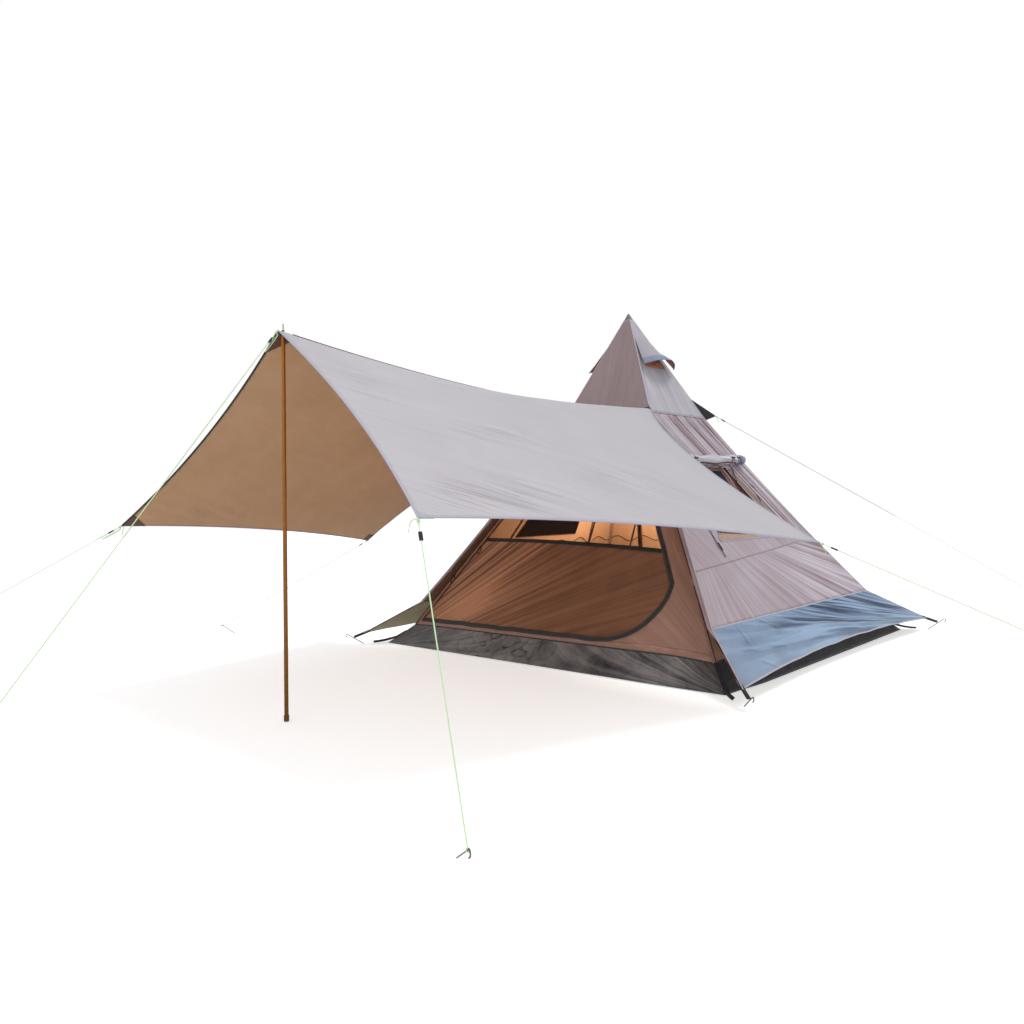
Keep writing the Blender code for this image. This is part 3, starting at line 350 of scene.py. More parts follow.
M = {
    "wall": cloth("fly_wall_cloth", (208, 199, 211), (122, 92, 98), crease=(7, 0.4), through=0.12,
                  painted_fold_shading=1.1, lines=0.5, crease_depth=0.008, middle=0.62, by_amount=True),
    "wall_dark": cloth("fly_seam_cloth", (176, 164, 172), (150, 136, 144)),
    "hip": cloth("fly_piping_cloth", (198, 190, 202), (176, 166, 178)),
    "hip_band": cloth("fly_hip_cloth", (200, 198, 212), (176, 172, 186), crease=(5, 0.4)),
    "peak": cloth("peak_cloth", (140, 134, 148), (104, 98, 112), crease=(3, 3)),
    "cap": cloth("fly_cap_cloth", (202, 200, 211), (156, 150, 160), crease=(5, 0.4), through=0.12, lines=0.22,
                 painted_fold_shading=0.36, crease_depth=0.005, middle=0.64),
    "hood": cloth("hood_cloth", (176, 172, 183), (140, 134, 146), crease=(5, 0.4), lines=0.10, painted_fold_shading=0.2,
                  crease_depth=0.003),
    # The caps' cloth, darker and browner on the front: painted shade
    "cap_front_painted_shade": cloth("fly_front_cap_painted_shade_cloth", (176, 156, 158), (140, 120, 122), crease=(3, 0.25),
                       through=0.12, painted_fold_shading=0.22, lines=0.05, crease_depth=0.003, middle=0.55),
    "navy": webbing("navy_tape", (40, 44, 60)),
    "orange": cloth("vent_lining", (226, 156, 104), (196, 120, 78), through=0.35),
    "hem": webbing("awning_hem", (172, 170, 190), 0.002),
    "awning_seam": webbing("awning_seam_tape", (150, 112, 80), 0.002),
    "teeth": webbing("zip_teeth", (34, 34, 38), 0.0016, 0.5),
    "black_net": net("inner_window_net", (16, 15, 16), 0.93),
    "navy_net": net("outer_window_net", (36, 44, 62), 0.95),
    "orange_net": net("vent_net", (206, 128, 96), 0.85),
    "steel_pole": solid("centre_pole_steel", (96, 92, 92), (58, 54, 54), 0.38, 0.8),
    "fly_in": cloth("fly_inside_cloth", (206, 160, 120), (170, 124, 90), crease=(7, 0.5), through=0.2),
    # lift and the shade layer paint the skirt darker towards its rear corner and in its creases: painted shade
    "skirt": cloth("skirt_cloth", (150, 180, 214), (34, 54, 92), crease=(4.5, 0.30), crease_depth=0.020,
                   painted_fold_shading=1.6, lines=0.40, middle=0.60, crumples=0.6, mottling=0.26, by_amount=True, lift=-0.26,
                   through=0.15, shaded=True, through_colour=(232, 222, 196)),
    "skirt_in": cloth("skirt_inside_cloth", (242, 232, 204), (218, 206, 176), crease=(4, 1.2), through=0.6),
    "awning": cloth("awning_top_cloth", (195, 201, 211), (172, 177, 188), crease=(3.2, 0.14),
                    crease_depth=0.014, through=0.20, painted_fold_shading=0.6, crumples=0.14, lines=0.8, mottling=0.2,
                    through_colour=(226, 178, 130), middle=0.68, by_amount=True),
    "awning_in": cloth("awning_under_cloth", (214, 188, 158), (188, 158, 126), crease=(1.6, 1.2),
                       crease_depth=0.004, through=0.35, lines=0.06, mottling=0.4,
                       through_colour=(240, 194, 142)),
    "inner": cloth("inner_cloth", (196, 162, 148), (150, 112, 98), crease=(4, 0.5), through=0.15, painted_fold_shading=0.25,
                   lines=0.12, crease_depth=0.006),
    # lift and the shade layer paint the door's lower left lighter: a painted sheen
    "door": cloth("door_cloth", (216, 158, 122), (84, 52, 38), crease=(5, 0.22), crease_depth=0.012,
                  through=0.12, painted_fold_shading=0.75, lines=0.25, middle=0.46, by_amount=True, lift=0.34, shaded=True),
    # Brighter than the inner cloth's outside: painted light of the glow inside the tent
    "lit": cloth("inner_lit_cloth", (246, 192, 142), (216, 158, 110), crease=(5, 0.6), through=0.3),
    "tub": cloth("tub_cloth", (156, 156, 158), (36, 38, 50), crease=(1.5, 0.20), crease_depth=0.014,
                 rough=0.5, painted_fold_shading=0.45, lines=0.25, crumples=1.0, mottling=0.8, middle=0.50, shaded=True),
    "floor": cloth("floor_cloth", (70, 72, 80), (52, 54, 60), crease=(2, 2), rough=0.5, crease_depth=0.004),
    "tub_side": cloth("tub_side_cloth", (50, 52, 66), (34, 35, 46), crease=(3, 0.8), rough=0.5),
    "facing": cloth("window_facing_cloth", (156, 134, 130), (112, 90, 86), crease=(6, 0.5), painted_fold_shading=0.6,
                    lines=0.3),
    "tan": cloth("window_sill_cloth", (186, 158, 142), (156, 124, 108), crease=(4, 1), painted_fold_shading=0.4),
    "flap": cloth("flap_cloth", (222, 222, 230), (160, 152, 164), crease=(5, 0.8), crease_depth=0.008,
                  painted_fold_shading=0.8, lines=0.4),
    "flap_end": cloth("flap_end_cloth", (148, 160, 184), (84, 92, 116), crease=(4, 2), painted_fold_shading=0.6, lines=0.4),
    "brim": cloth("brim_cloth", (146, 158, 184), (118, 130, 156), crease=(2, 4)),
    "patch": cloth("patch_cloth", (104, 74, 58), (78, 52, 40), crease=(2, 2), crease_depth=0.003),
    "net": net("door_net_mesh", (60, 38, 28), 0.16),
    "tape": webbing("dark_tape", (44, 44, 50)),
    "zip": webbing("zip_tape", (72, 69, 70), 0.003),
    "seam": webbing("brown_tape", (84, 46, 34)),
    "piping": webbing("pale_piping", (190, 186, 200), 0.002),
    # The pole darkens towards its foot: painted shade
    "bronze": solid("bronze_tube", (172, 112, 48), (62, 42, 22), 0.34, 0.75, axis=(-0.1, 1.8), tip=POLE_Z),
    "steel": solid("peg_steel", (120, 120, 124), (60, 60, 62), 0.4, 0.9, 90.0, scratch=0.0004),
    "plastic": solid("black_plastic", (40, 40, 42), (24, 24, 26), 0.45, 0.0, 200.0, scratch=0.0003),
    "line": cord_material("guy_cord", (180, 218, 164), (238, 248, 224)),
    "binding": webbing("edge_binding", (36, 32, 32), 0.003),
}


# ---- camera ----
# Solved from the photograph: focal length and centre in pixels, and the turns of the camera
PHOTO, SENSOR = 1024, 36.0
F, CX, CY, PITCH, TILT, YAW = 762.3647, 457.1983, 449.1661, 0.0871, -0.0286, -0.8023
EYE = Vector((3.4769, -5.3953, 1.0112))
forward = Vector((sin(YAW) * cos(PITCH), cos(YAW) * cos(PITCH), sin(PITCH)))
level = Vector((cos(YAW), -sin(YAW), 0))
above = level.cross(forward)
right = level * cos(TILT) + above * sin(TILT)
up = above * cos(TILT) - level * sin(TILT)
camera = bpy.data.objects.new("camera", bpy.data.cameras.new("camera"))
bpy.context.scene.collection.objects.link(camera)
camera.matrix_world = Matrix((
    (right.x, up.x, -forward.x, EYE.x), (right.y, up.y, -forward.y, EYE.y), (right.z, up.z, -forward.z, EYE.z),
    (0, 0, 0, 1)))
camera.data.sensor_width = SENSOR
camera.data.lens = F / PHOTO * SENSOR
camera.data.shift_x, camera.data.shift_y = (PHOTO / 2 - CX) / PHOTO, (CY - PHOTO / 2) / PHOTO
camera.data.clip_end = 300
bpy.context.scene.camera = camera

# ---- piece builders ----
def link(name, data):
    obj = bpy.data.objects.new(name, data)
    bpy.context.scene.collection.objects.link(obj)
    return obj


def link_mesh(name, shape):
    data = bpy.data.meshes.new(name)
    shape.to_mesh(data)
    shape.free()
    return link(name, data)


def new_shape():
    """An empty shape, and its two maps: metres of cloth, and the fan along which it creases."""
    shape = bmesh.new()
    return shape, *(shape.loops.layers.uv.new(name) for name in ("metres", "fan"))


def thicken(obj, thick, offset):
    shell = obj.modifiers.new("Thickness", "SOLIDIFY")
    shell.thickness, shell.offset = thick, offset
    return shell


def round_edges(obj, width):
    edge = obj.modifiers.new("Edge", "BEVEL")
    edge.width, edge.segments = width, 2
    return edge


def own(obj, mats, body=ROOT):
    for key in mats:
        obj.data.materials.append(M[key])
    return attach(obj, body)


def grid(name, point, nu, nv, mats, size, thick=0.0012, offset=1.0, body=ROOT, hole=None, fan=None, **painted):
    """A sheet over (u, v) from 0 to 1, u to the right and v down as seen from outside. size is in metres.

    painted gives the cloth's layers: how deep its creases are and how much painted light and shade they get
    (amount), and how much painted shade it gets, a painted highlight where below 0 (shade)."""
    us = nu if isinstance(nu, list) else spread(0, 1, nu)
    vs = nv if isinstance(nv, list) else spread(0, 1, nv)
    shape, metres, fans = new_shape()
    for layer in painted:
        shape.verts.layers.float.new(layer)
    rows = [[shape.verts.new(point(u, v)) for u in us] for v in vs]
    for j in range(len(vs) - 1):
        for i in range(len(us) - 1):
            face = shape.faces.new((rows[j][i], rows[j + 1][i], rows[j + 1][i + 1], rows[j][i + 1]))
            face.smooth = True
            corners = (us[i], vs[j]), (us[i], vs[j + 1]), (us[i + 1], vs[j + 1]), (us[i + 1], vs[j])
            for loop, (u, v) in zip(face.loops, corners):
                loop[metres].uv = (u * size[0], v * size[1])
                inset = 1e-4 if v == vs[j] else -1e-4
                loop[fans].uv = fan(u, v + inset) if fan else (u, v)
    for layer, level in painted.items():
        layer = shape.verts.layers.float[layer]
        for row, v in zip(rows, vs):
            for vert, u in zip(row, us):
                vert[layer] = level(u, v)
    if hole:
        hole(shape)
    obj = link_mesh(name, shape)
    if thick:
        thicken(obj, thick, offset).material_offset = 1 if len(mats) > 1 else 0
    return own(obj, mats, body)


def cut_polygon(shape, face, outline):
    """Removes a sheet's faces inside an outline of (across, height) points on one face of the tent."""
    count = len(outline)
    for k in range(count):
        (x0, z0), (x1, z1) = outline[k], outline[(k + 1) % count]
        normal = turn(face, z1 - z0, 0, -(x1 - x0)).normalized()
        everything = [*shape.faces, *shape.edges, *shape.verts]
        bmesh.ops.bisect_plane(shape, geom=everything, plane_co=turn(face, x0, 0, z0), plane_no=normal, dist=1e-5)
    back = Matrix.Rotation(-face * pi / 2, 3, "Z")
    gone = []
    for f in shape.faces:
        c = back @ f.calc_center_median()
        if all((x1 - x0) * (c.z - z0) - (z1 - z0) * (c.x - x0) > 0
               for (x0, z0), (x1, z1) in zip(outline, outline[1:] + outline[:1])):
            gone.append(f)
    bmesh.ops.delete(shape, geom=gone, context="FACES")


def tube(name, points, radius, mat, body=ROOT, sides=3):
    data = bpy.data.curves.new(name, "CURVE")
    data.dimensions, data.bevel_depth, data.bevel_resolution, data.use_fill_caps = "3D", radius, sides, True
    spline = data.splines.new("POLY")
    spline.points.add(len(points) - 1)
    for slot, p in zip(spline.points, points):
        slot.co = (*p, 1.0)
    return own(link(name, data), [mat], body)


def band(name, points, normals, width, mat, thick=0.0014, body=ROOT, lift=0.0):
    """A tape along points, square to a normal at each, standing a little off what it is sewn to."""
    if isinstance(normals, Vector):
        normals = [normals] * len(points)
    sides, run = [], [0.0]
    for i, p in enumerate(points):
        along = (points[min(i + 1, len(points) - 1)] - points[max(i - 1, 0)]).normalized()
        sides.append(along.cross(normals[i]).normalized() * width / 2)
        run.append(run[-1] + (p - points[max(i - 1, 0)]).length)

    def point(u, v):
        k = round(v * (len(points) - 1))
        return points[k] + sides[k] * (1 - 2 * u) + normals[k].normalized() * lift

    return grid(name, point, 3, len(points), [mat], (width, run[-1]), thick, body=body)


def slab(name, outline, thick, mat):
    """A flat piece of doubled cloth on an outline of points."""
    shape, metres, fans = new_shape()
    face = shape.faces.new([shape.verts.new(p) for p in outline])
    face.normal_update()
    across = (outline[1] - outline[0]).normalized()
    other = face.normal.cross(across)
    for loop in face.loops:
        p = loop.vert.co - outline[0]
        loop[metres].uv = (p.dot(across), p.dot(other))
        loop[fans].uv = loop[metres].uv
    obj = link_mesh(name, shape)
    thicken(obj, thick, 0.0)
    round_edges(obj, thick * 0.3)
    return own(obj, [mat])


def rough(a, b, c):
    """A smooth repeatable random number from -1 to 1 at a place."""
    return noise.noise(Vector((a, b, c + 0.37)))


def smooth(low, high, x):
    t = min(max((x - low) / (high - low), 0), 1)
    return t * t * (3 - 2 * t)


# ---- fly ----
def fly_point(face, share, z, out=0.0):
    r = fly_r(z)
    return turn(face, share * r, -r - out, z)


def out_of(face, upper=False, inner=False):
    """The outward normal of a fly wall, or of a cap, or of an inner wall."""
    low, high = ((CAP_Z, CAP_R), (PEAK_Z, 0)) if upper else ((SKIRT_Z, SKIRT_R), (CAP_Z, CAP_R))
    if inner:
        low, high = (TUB_Z, TUB_R), (CAP_Z, SHOULDER_R)
    return turn(face, 0, -(high[0] - low[0]), low[1] - high[1]).normalized()


FAN_AT = (-0.75, 1.00)  # where the creases under a wall's seam fan out from, as (y, z)
SEAM_V = 0.72  # how far down the wall's sheet its seam is
SEAM_OUT = 0.0016  # how far seams and bindings stand off the cloth's middle


def seam_z(face, share):
    """Height of the flat-felled seam across a wall, a little higher at the rear."""
    return 0.70 if face == REAR else mix(0.626, 0.760, (share * hand(face) + 1) / 2)


def wall_z(face, u, v):
    """Rows of the wall's sheet: one of them follows the seam."""
    seam = seam_z(face, 2 * u - 1)
    top, foot = CAP_Z - GAP, SKIRT_Z + GAP
    return mix(top, seam, v / SEAM_V) if v < SEAM_V else mix(seam, foot, (v - SEAM_V) / (1 - SEAM_V))


def crease_at(face, share, z):
    """Where a wall point lies across its creases: they run beside the rear hip, and fan out under the seam."""
    y = share * hand(face) * fly_r(z)
    return y, y - 0.62 * (CAP_Z - z), -atan2(y - FAN_AT[0], FAN_AT[1] - z + 0.02) * 0.9


def crease_strength(face, share, z):
    """How deep the creases are, and how much painted light and shade they get: most over the window and beside the
    rear hip, least about the window's sides.
    """
    rear = smooth(-0.15, 0.75, share * hand(face))
    if z < seam_z(face, share):
        return 0.25 + 0.50 * rear
    return max(smooth(1.18, 1.42, z), 0.20 + 0.75 * rear * smooth(0.62, 0.95, z))


def wall_crease(face, share, z):
    y, straight, fan = crease_at(face, share, z)
    seam = seam_z(face, share)
    edge = min(1, (1 - abs(share)) * 6) * min(1, (CAP_Z - z) / 0.04) * min(1, (z - SKIRT_Z) / 0.05)
    edge *= 0.25 + 0.75 * min(1, abs(z - seam) / 0.05)
    strong = crease_strength(face, share, z)
    if z < seam:
        fold = 0.0060 * sin(fan * 46 + rough(fan * 5, z, face + 2.0)) + 0.006 * rough(fan * 16, z * 0.4, 3.0)
    else:
        fold = 0.0072 * sin(straight * 74 + 1.5 * rough(straight * 6, z * 0.4, face))
        fold += 0.0060 * rough(straight * 30, z * 0.6, face + 7.0)
    soft = 0.008 * rough(y * 1.7, z * 1.3, face + 11.0) - 0.004
    return edge * (fold * strong + soft)


def wall_fan(face):
    def at(u, v):
        z = wall_z(face, u, v)
        y, straight, fan = crease_at(face, 2 * u - 1, z)
        return (straight if v < SEAM_V else fan + 5.0) + face * 7.3, z * 0.5
    return at


def vent_outline(steps=10):
    """The vent's half-round arch, as points (across, height)."""
    return [(VENT_W / 2 * cos(pi * i / steps), VENT_SILL_Z + VENT_H * sin(pi * i / steps))
            for i in range(steps + 1)]


WINDOW = [(-WINDOW_SILL_W / 2, WINDOW_SILL_Z), (WINDOW_SILL_W / 2, WINDOW_SILL_Z),
          (WINDOW_TOP_W / 2, WINDOW_TOP_Z), (-WINDOW_TOP_W / 2, WINDOW_TOP_Z)]
CAP_TOP_Z = mix(PEAK_Z, CAP_Z, 0.026 / CAP_R)  # the caps end under the peak's patch

for face, label in NAMES.items():
    side = face in (RIGHT, LEFT)

    def cap_point(u, v):
        z, share = mix(CAP_TOP_Z, CAP_Z + GAP, v), 2 * u - 1
        fold = 0.004 * (1 - share * share) * hump(v) * rough(share * 5 * v + face * 2.3, v * 2, face)
        fold += 0.0022 * (1 - share * share) * hump(min(v * 1.05, 1)) * sin(share * 26 + face)
        if face in (RIGHT, LEFT):  # flat under the hood, which closes on it
            fold = mix(fold, min(fold, 0), smooth(2.06, 2.12, z) * (1 - smooth(2.44, 2.50, z)))
        return fly_point(face, share * 0.999, z, fold)

    hole = (lambda shape: cut_polygon(shape, face, vent_outline())) if side else None
    cap = grid(f"cap_{label}_cloth", cap_point, 41, 41, ["cap_front_painted_shade" if face == FRONT else "cap", "fly_in"],
               (2 * CAP_R, 0.98), hole=hole, fan=lambda u, v: ((2 * u - 1) * 0.41 * v + face * 3.1, v * 0.4))
    if face != REAR:
        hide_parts(f"fly_cap_{label}")
    if face == FRONT:
        continue

    def wall_point(u, v):
        z, share = wall_z(face, u, v), 2 * u - 1
        return fly_point(face, share * 0.9995, z, wall_crease(face, share, z))

    hole = (lambda shape: cut_polygon(shape, face, WINDOW)) if side else None
    rows = spread(0, SEAM_V, 46) + spread(SEAM_V, 1, 19)[1:]
    wall = grid(f"wall_{label}_cloth", wall_point, 151, rows, ["wall", "fly_in"], (2 * SKIRT_R, 1.67), hole=hole,
                fan=wall_fan(face), amount=lambda u, v: crease_strength(face, 2 * u - 1, wall_z(face, u, v)))
    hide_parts(f"fly_wall_{label}" if side else "fly_rear")


def skirt_fan_at(a, down):
    """Creases of a skirt: they come down from its seam and bend towards its rear corner."""
    x, y = a * mix(SKIRT_R, HEM_R, down), down * SKIRT_DEPTH
    return (0.46 - y) / ((HEM_R + 0.10 - x) ** 1.6 + 0.5)


# How deep the skirt's creases are and how much painted light and shade they get, most towards the rear corner
def skirt_strength(a, down):
    return mix(0.24, 1.0 - 0.4 * smooth(0.90, 1.0, a), smooth(-0.80, 0.20, a)) * (1 - 0.45 * smooth(0.4, 1.0, down))


SKIRT_CREASES = ((-0.79, 0.04, -0.773, 0.46), (-0.858, 0.506, -0.726, 0.595), (-0.766, 0.78, -0.695, 0.945),
                 (-0.55, 0.05, -0.44, 0.34), (-0.36, 0.42, -0.16, 0.60), (-0.62, 0.62, -0.50, 0.70))


def skirt_shade(a, down):
    """Painted shade along a few sharp creases of the skirt's front half, with a painted highlight beside each, as
    shares of its length and depth.
    """
    shade = 0.0
    for a0, d0, a1, d1 in SKIRT_CREASES:
        at, start, end = (Vector((x * SKIRT_REACH, y * SKIRT_DEPTH)) for x, y in ((a, down), (a0, d0), (a1, d1)))
        run = end - start
        t = (at - start).dot(run) / run.length_squared
        side = (at - start).cross(run.normalized()) + 0.006 * rough(t * 3, a0, d0)
        near = bell(max(abs(t - 0.5) - 0.3, 0), 0.2)
        shade += near * (0.30 * bell(side, 0.011) - 0.16 * bell(side - 0.020, 0.013))
    return shade


def skirt_point(face, share, down):
    slope = hypot(HEM_R - SKIRT_R, SKIRT_Z - HEM_Z)
    short = down * (1 - HEM_CUT / slope * (1 - share * share))
    r, z = skirt_rz(short)
    a = share * hand(face)
    rear = skirt_fan_at(a, down)
    wave = sin(pi * 7 * share * (1 - 0.25 * down)) + 0.6 * sin(pi * 11 * share + 2 * down)
    near = HEM_R + 0.10 - a * HEM_R
    fine = sin(rear * 38 + 2.0 * rough(rear * 9, near * 0.4, face)) * min(near, 1.0)
    fine += 1.2 * rough(rear * 26, near * 0.7, face + 4.0) * min(near, 1.0)
    back = smooth(-0.8, 0.1, a)
    fine = fine * back + 0.5 * rough(a * 9 + down * 3, down * 2.5, face) * (1 - back)
    end = hump(min(down, 0.93)) * (1 - share * share) ** 0.5
    out = (1 - share * share) ** 0.8 * 0.0035 * wave * down + 0.022 * fine * end
    n = Vector((0, -(SKIRT_Z - HEM_Z), HEM_R - SKIRT_R)).normalized()
    return turn(face, *(Vector((share * mix(SKIRT_R, HEM_R, down), -r, z)) + n * out))


for face, label in list(NAMES.items())[1:]:

    def rear(u):
        return (2 * u - 1) * hand(face)

    skirt = grid(f"skirt_{label}_cloth", lambda u, v: skirt_point(face, 2 * u - 1, v), 211, 37,
                 ["skirt", "skirt_in"], (2 * HEM_R, SKIRT_DEPTH),
                 fan=lambda u, v: (skirt_fan_at(rear(u), v), rear(u) * 0.9),
                 amount=lambda u, v: skirt_strength(rear(u), v), shade=lambda u, v: skirt_shade(rear(u), v))
    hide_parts(f"fly_skirt_{label}")
    outs = turn(face, 0, -(SKIRT_Z - HEM_Z), HEM_R - SKIRT_R).normalized()
    seam = [skirt_point(face, a, 0) + out_of(face) * 0.0012 for a in spread(-0.995, 0.995, 60)]
    band(f"skirt_{label}_seam", seam, out_of(face), 0.010, "piping", 0.0012, lift=TAPE_LIFT)
    hem = [skirt_point(face, a, 0.985) for a in spread(-0.995, 0.995, 120)]
    band(f"skirt_{label}_hem", hem, outs, 0.010, "piping", 0.0012, lift=0.0014)


def jamb_rows():
    rows = [(fly_r(z), fly_r(z) - 0.035, fly_r(z), z) for z in spread(CAP_Z - GAP, SKIRT_Z, 24)]
    for down in spread(0.06, 0.95, 14):
        r, z = skirt_rz(down)
        rows.append((r, r - mix(0.035, 0.012, min(down / 0.25, 1)), r, z))
    return rows


JAMB = jamb_rows()
for sign, label in HANDS:
    def jamb_point(u, v):
        near, far, y, z = JAMB[round(v * (len(JAMB) - 1))]
        share = u if sign < 0 else 1 - u
        x = mix(near, far, share)
        return Vector((sign * x, -y - 0.003 * sin(v * 40) * share, z))
    jamb = grid(f"jamb_{label}_cloth", jamb_point, 5, len(JAMB), ["wall", "fly_in"], (0.05, 2.2),
                amount=lambda u, v: 0.5)
    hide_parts(f"fly_jamb_{label}")
    edge = [Vector((sign * (far + 0.004), -y - 0.0016, z)) for near, far, y, z in JAMB]
    band(f"jamb_{label}_edge", edge, Vector((0, -1, 0.55)), 0.008, "seam", 0.0012, lift=TAPE_LIFT)

# Piping down the hips and along the cap's seam, and the patch over the pole tip
for sx, sy in ((1, -1), (1, 1), (-1, 1), (-1, -1)):
    name = ("rear" if sy > 0 else "front") + ("_right" if sx > 0 else "_left")
    hip = [on_hip(sx, sy, fly_r(z), z) for z in spread(CAP_TOP_Z, SKIRT_Z, 60)]
    hip += [on_hip(sx, sy, *skirt_rz(down)) for down in spread(0.05, 1, 12)]
    out = Vector((sx, sy, 1.0)).normalized()
    tube(f"hip_{name}_piping", [p + out * 0.0012 for p in hip], 0.0032, "hip")
    end = Vector((sx, sy, 0)) * (HEM_R + TAB_REACH - 0.004)
    strap = [on_hip(sx, sy, HEM_R, HEM_Z).lerp(Vector((end.x, end.y, 0.0555)), t)
             for t in spread(-0.6, 1, 8)]
    facing = Vector((sx, sy, 2.6)) if (sx, sy) == (1, -1) else Vector((sx - 1.6 * sy, sy + 1.6 * sx, 1.6))
    band(f"strap_{name}", strap, facing.normalized(), 0.024, "tape", 0.0018)
for face, label, sign in ((RIGHT, "right", -1), (LEFT, "left", 1)):
    strip = [fly_point(face, sign * (1 - 0.016 / fly_r(z)), z, 0.0014) for z in spread(2.50, CAP_Z + 0.006, 30)]
    band(f"cap_{label}_hip_band", strip, out_of(face, True), 0.030, "hip_band", 0.0005)
for face, label in NAMES.items():
    seam = [fly_point(face, a, CAP_Z, SEAM_OUT) for a in spread(-0.99, 0.99, 30)]
    band(f"cap_{label}_seam", seam, out_of(face), 0.016 if face == FRONT else 0.009,
         "navy" if face == FRONT else "wall", 0.0012, lift=TAPE_LIFT)
    if face == FRONT:
        continue
    # A flat-felled seam across each wall
    seam = []
    for a in spread(-0.985, 0.985, 80):
        z = seam_z(face, a)
        seam.append(fly_point(face, a, z, wall_crease(face, a, z) + SEAM_OUT))
    band(f"wall_{label}_seam", seam, out_of(face), 0.007, "wall_dark", 0.001)


def frustum(name, rings, mat):
    """A closed piece through rings of points, from its lowest to its highest."""
    shape, *maps = new_shape()
    loops = [[shape.verts.new(p) for p in ring] for ring in rings]
    shape.faces.new(loops[0][::-1])
    shape.faces.new(loops[-1])
    for low, high in zip(loops, loops[1:]):
        for k in range(len(low)):
            shape.faces.new((low[k - 1], low[k], high[k], high[k - 1]))
    for loop in (loop for f in shape.faces for loop in f.loops):
        for layer in maps:
            loop[layer].uv = (loop.vert.co.x + loop.vert.co.y, loop.vert.co.z)
    bmesh.ops.recalc_face_normals(shape, faces=shape.faces[:])
    obj = link_mesh(name, shape)
    round_edges(obj, 0.0012).limit_method = "ANGLE"
    return own(obj, [mat])


frustum("peak_patch", [[turn(k, -r, -r, z) for k in range(4)] for r, z in (
    (0.0265, CAP_TOP_Z + 0.0006), (0.0245, CAP_TOP_Z + 0.008), (0.010, PEAK_Z - 0.014), (0.0035, PEAK_Z))], "peak")

# Hip tabs: black at the rear for guy lines, small at the front for the awning
for sx, label in HANDS:
    tip = Vector((sx, 1, 0)) * (CAP_R + 0.0015 + TAB_REACH) + Vector((0, 0.002, TAB_TIP_Z))
    high, low = CAP_Z + TAB_H, CAP_Z - TAB_H / 12
    tab = [Vector((sx * fly_r(high), fly_r(high) + 0.002, high)),
           tip + UP * 0.006, tip - UP * 0.006,
           Vector((sx * fly_r(low), fly_r(low) + 0.002, low))]
    slab(f"rear_tab_{label}", tab, 0.003, "tape")
    tip = mirror(AWN_T, sx) - Vector((sx, -1, 0)).normalized() * 0.0015
    tab = [Vector((sx * fly_r(CAP_Z + 0.055), -fly_r(CAP_Z + 0.055) - 0.002, CAP_Z + 0.055)),
           tip + UP * 0.006, tip - UP * 0.006,
           Vector((sx * fly_r(CAP_Z), -fly_r(CAP_Z) - 0.002, CAP_Z + 0.001))]
    slab(f"front_tab_{label}", tab, 0.0028, "navy")
    hook = [Vector((sx * (AWN_T.x + dx), AWN_T.y + dy, AWN_T.z + dz)) for dx, dy, dz in
            ((-0.055, 0.003, 0.006), (-0.030, 0.001, 0.008), (-0.010, -0.002, 0.009), (0.004, -0.010, 0.002),
             (0.010, -0.020, -0.012))]
    tube(f"front_hook_{label}", hook, 0.0065, "plastic")

# ---- vent hoods ----
SLOPE = Vector((0, -CAP_R, -(PEAK_Z - CAP_Z))).normalized()
HOOD_N = Vector((0, SLOPE.z, -SLOPE.y))


def hood_point(face, x, down, off):
    hinge = Vector((0, -fly_r(HOOD_TOP_Z), HOOD_TOP_Z)) + HOOD_N * 0.0019
    return turn(face, *(hinge + Vector((x, 0, 0)) + SLOPE * down + HOOD_N * off))


for face, label in SIDES:
    def hood_at(u, v, extra=0.0):
        share = 2 * u - 1
        half = mix(HOOD_TOP_W, HOOD_BRIM_W, v) / 2
        high = (HOOD_LIFT - HOOD_END_LIFT) * (1 - share * share) * (1 - 0.26 * hump(min(v / 0.8, 1)))
        lift = v * (HOOD_END_LIFT + high) + 0.0008 * min(v * 20, 1) + extra
        lift += 0.002 * v * sin(share * 9 + 1) * (1 - share * share)
        return hood_point(face, share * half, v * HOOD_LENGTH, lift)

    body = f"vent_hood_{label}"
    hood = grid(f"hood_{label}_cloth", lambda u, v: hood_at(u, v * 0.999), 41, 31, ["hood", "orange"], (0.44, 0.32),
                body=body, fan=lambda u, v: (u * 0.4, v * 0.3))
    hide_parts(body)
    # A blue brim that narrows towards the rear, where only its wired edge shows
    def brim_at(u, v):
        start = 0.985 - 0.17 * (1 - smooth(0.30, 0.72, rearward(face, u)))
        return hood_at(u, mix(start, 1.004, v), 0.0016)

    grid(f"hood_{label}_brim", brim_at, 41, 7, ["brim"], (0.44, 0.055), 0.0020, body=body)
    edge = spread(0, 1, 61)
    for where, mat, radius, part in (("front", "brim", 0.0036, [u for u in edge if rearward(face, u) <= 0.56]),
                                     ("rear", "navy", 0.0052, [u for u in edge if rearward(face, u) >= 0.54])):
        tube(f"hood_{label}_wire_{where}", [hood_at(u, 1.0, 0.0012) for u in part], radius, mat, body)
    for end in (0.003, 0.997):
        side_edge = [hood_at(end, v, 0.0010) for v in spread(0.02, 0.99, 14)]
        where = "front" if rearward(face, end) < 0.5 else "rear"
        tube(f"hood_{label}_side_{where}", side_edge, 0.0016, "hip", body)
    # The vent's own net, and tape round it
    arch = [turn(face, x * 0.995, -fly_r(z) + 0.002, z) for x, z in vent_outline()]
    slab(f"vent_{label}_net", arch, 0.001, "orange_net")
    rim = [turn(face, x * 1.04, -fly_r(z) - SEAM_OUT, z) for x, z in vent_outline(24)]
    band(f"vent_{label}_tape", rim, out_of(face, True), 0.008, "cap", 0.001)

# ---- guy lines ----
LINE_R, PEG_R, LEAN, TIE = 0.0025, 0.003, radians(60), 0.15 * 0.92
PEAK = Vector((0, POLE_Y - LIP, POLE_Z + 0.007 + 0.0035 * (POLE_Z - AWN_C.z) / AWN_C.x))
TAB_END = Vector((CAP_R + 0.0015 + TAB_REACH,) * 2 + (TAB_TIP_Z,)) + Vector((0, 0.002, 0))
TAIL_DROP = 0.055
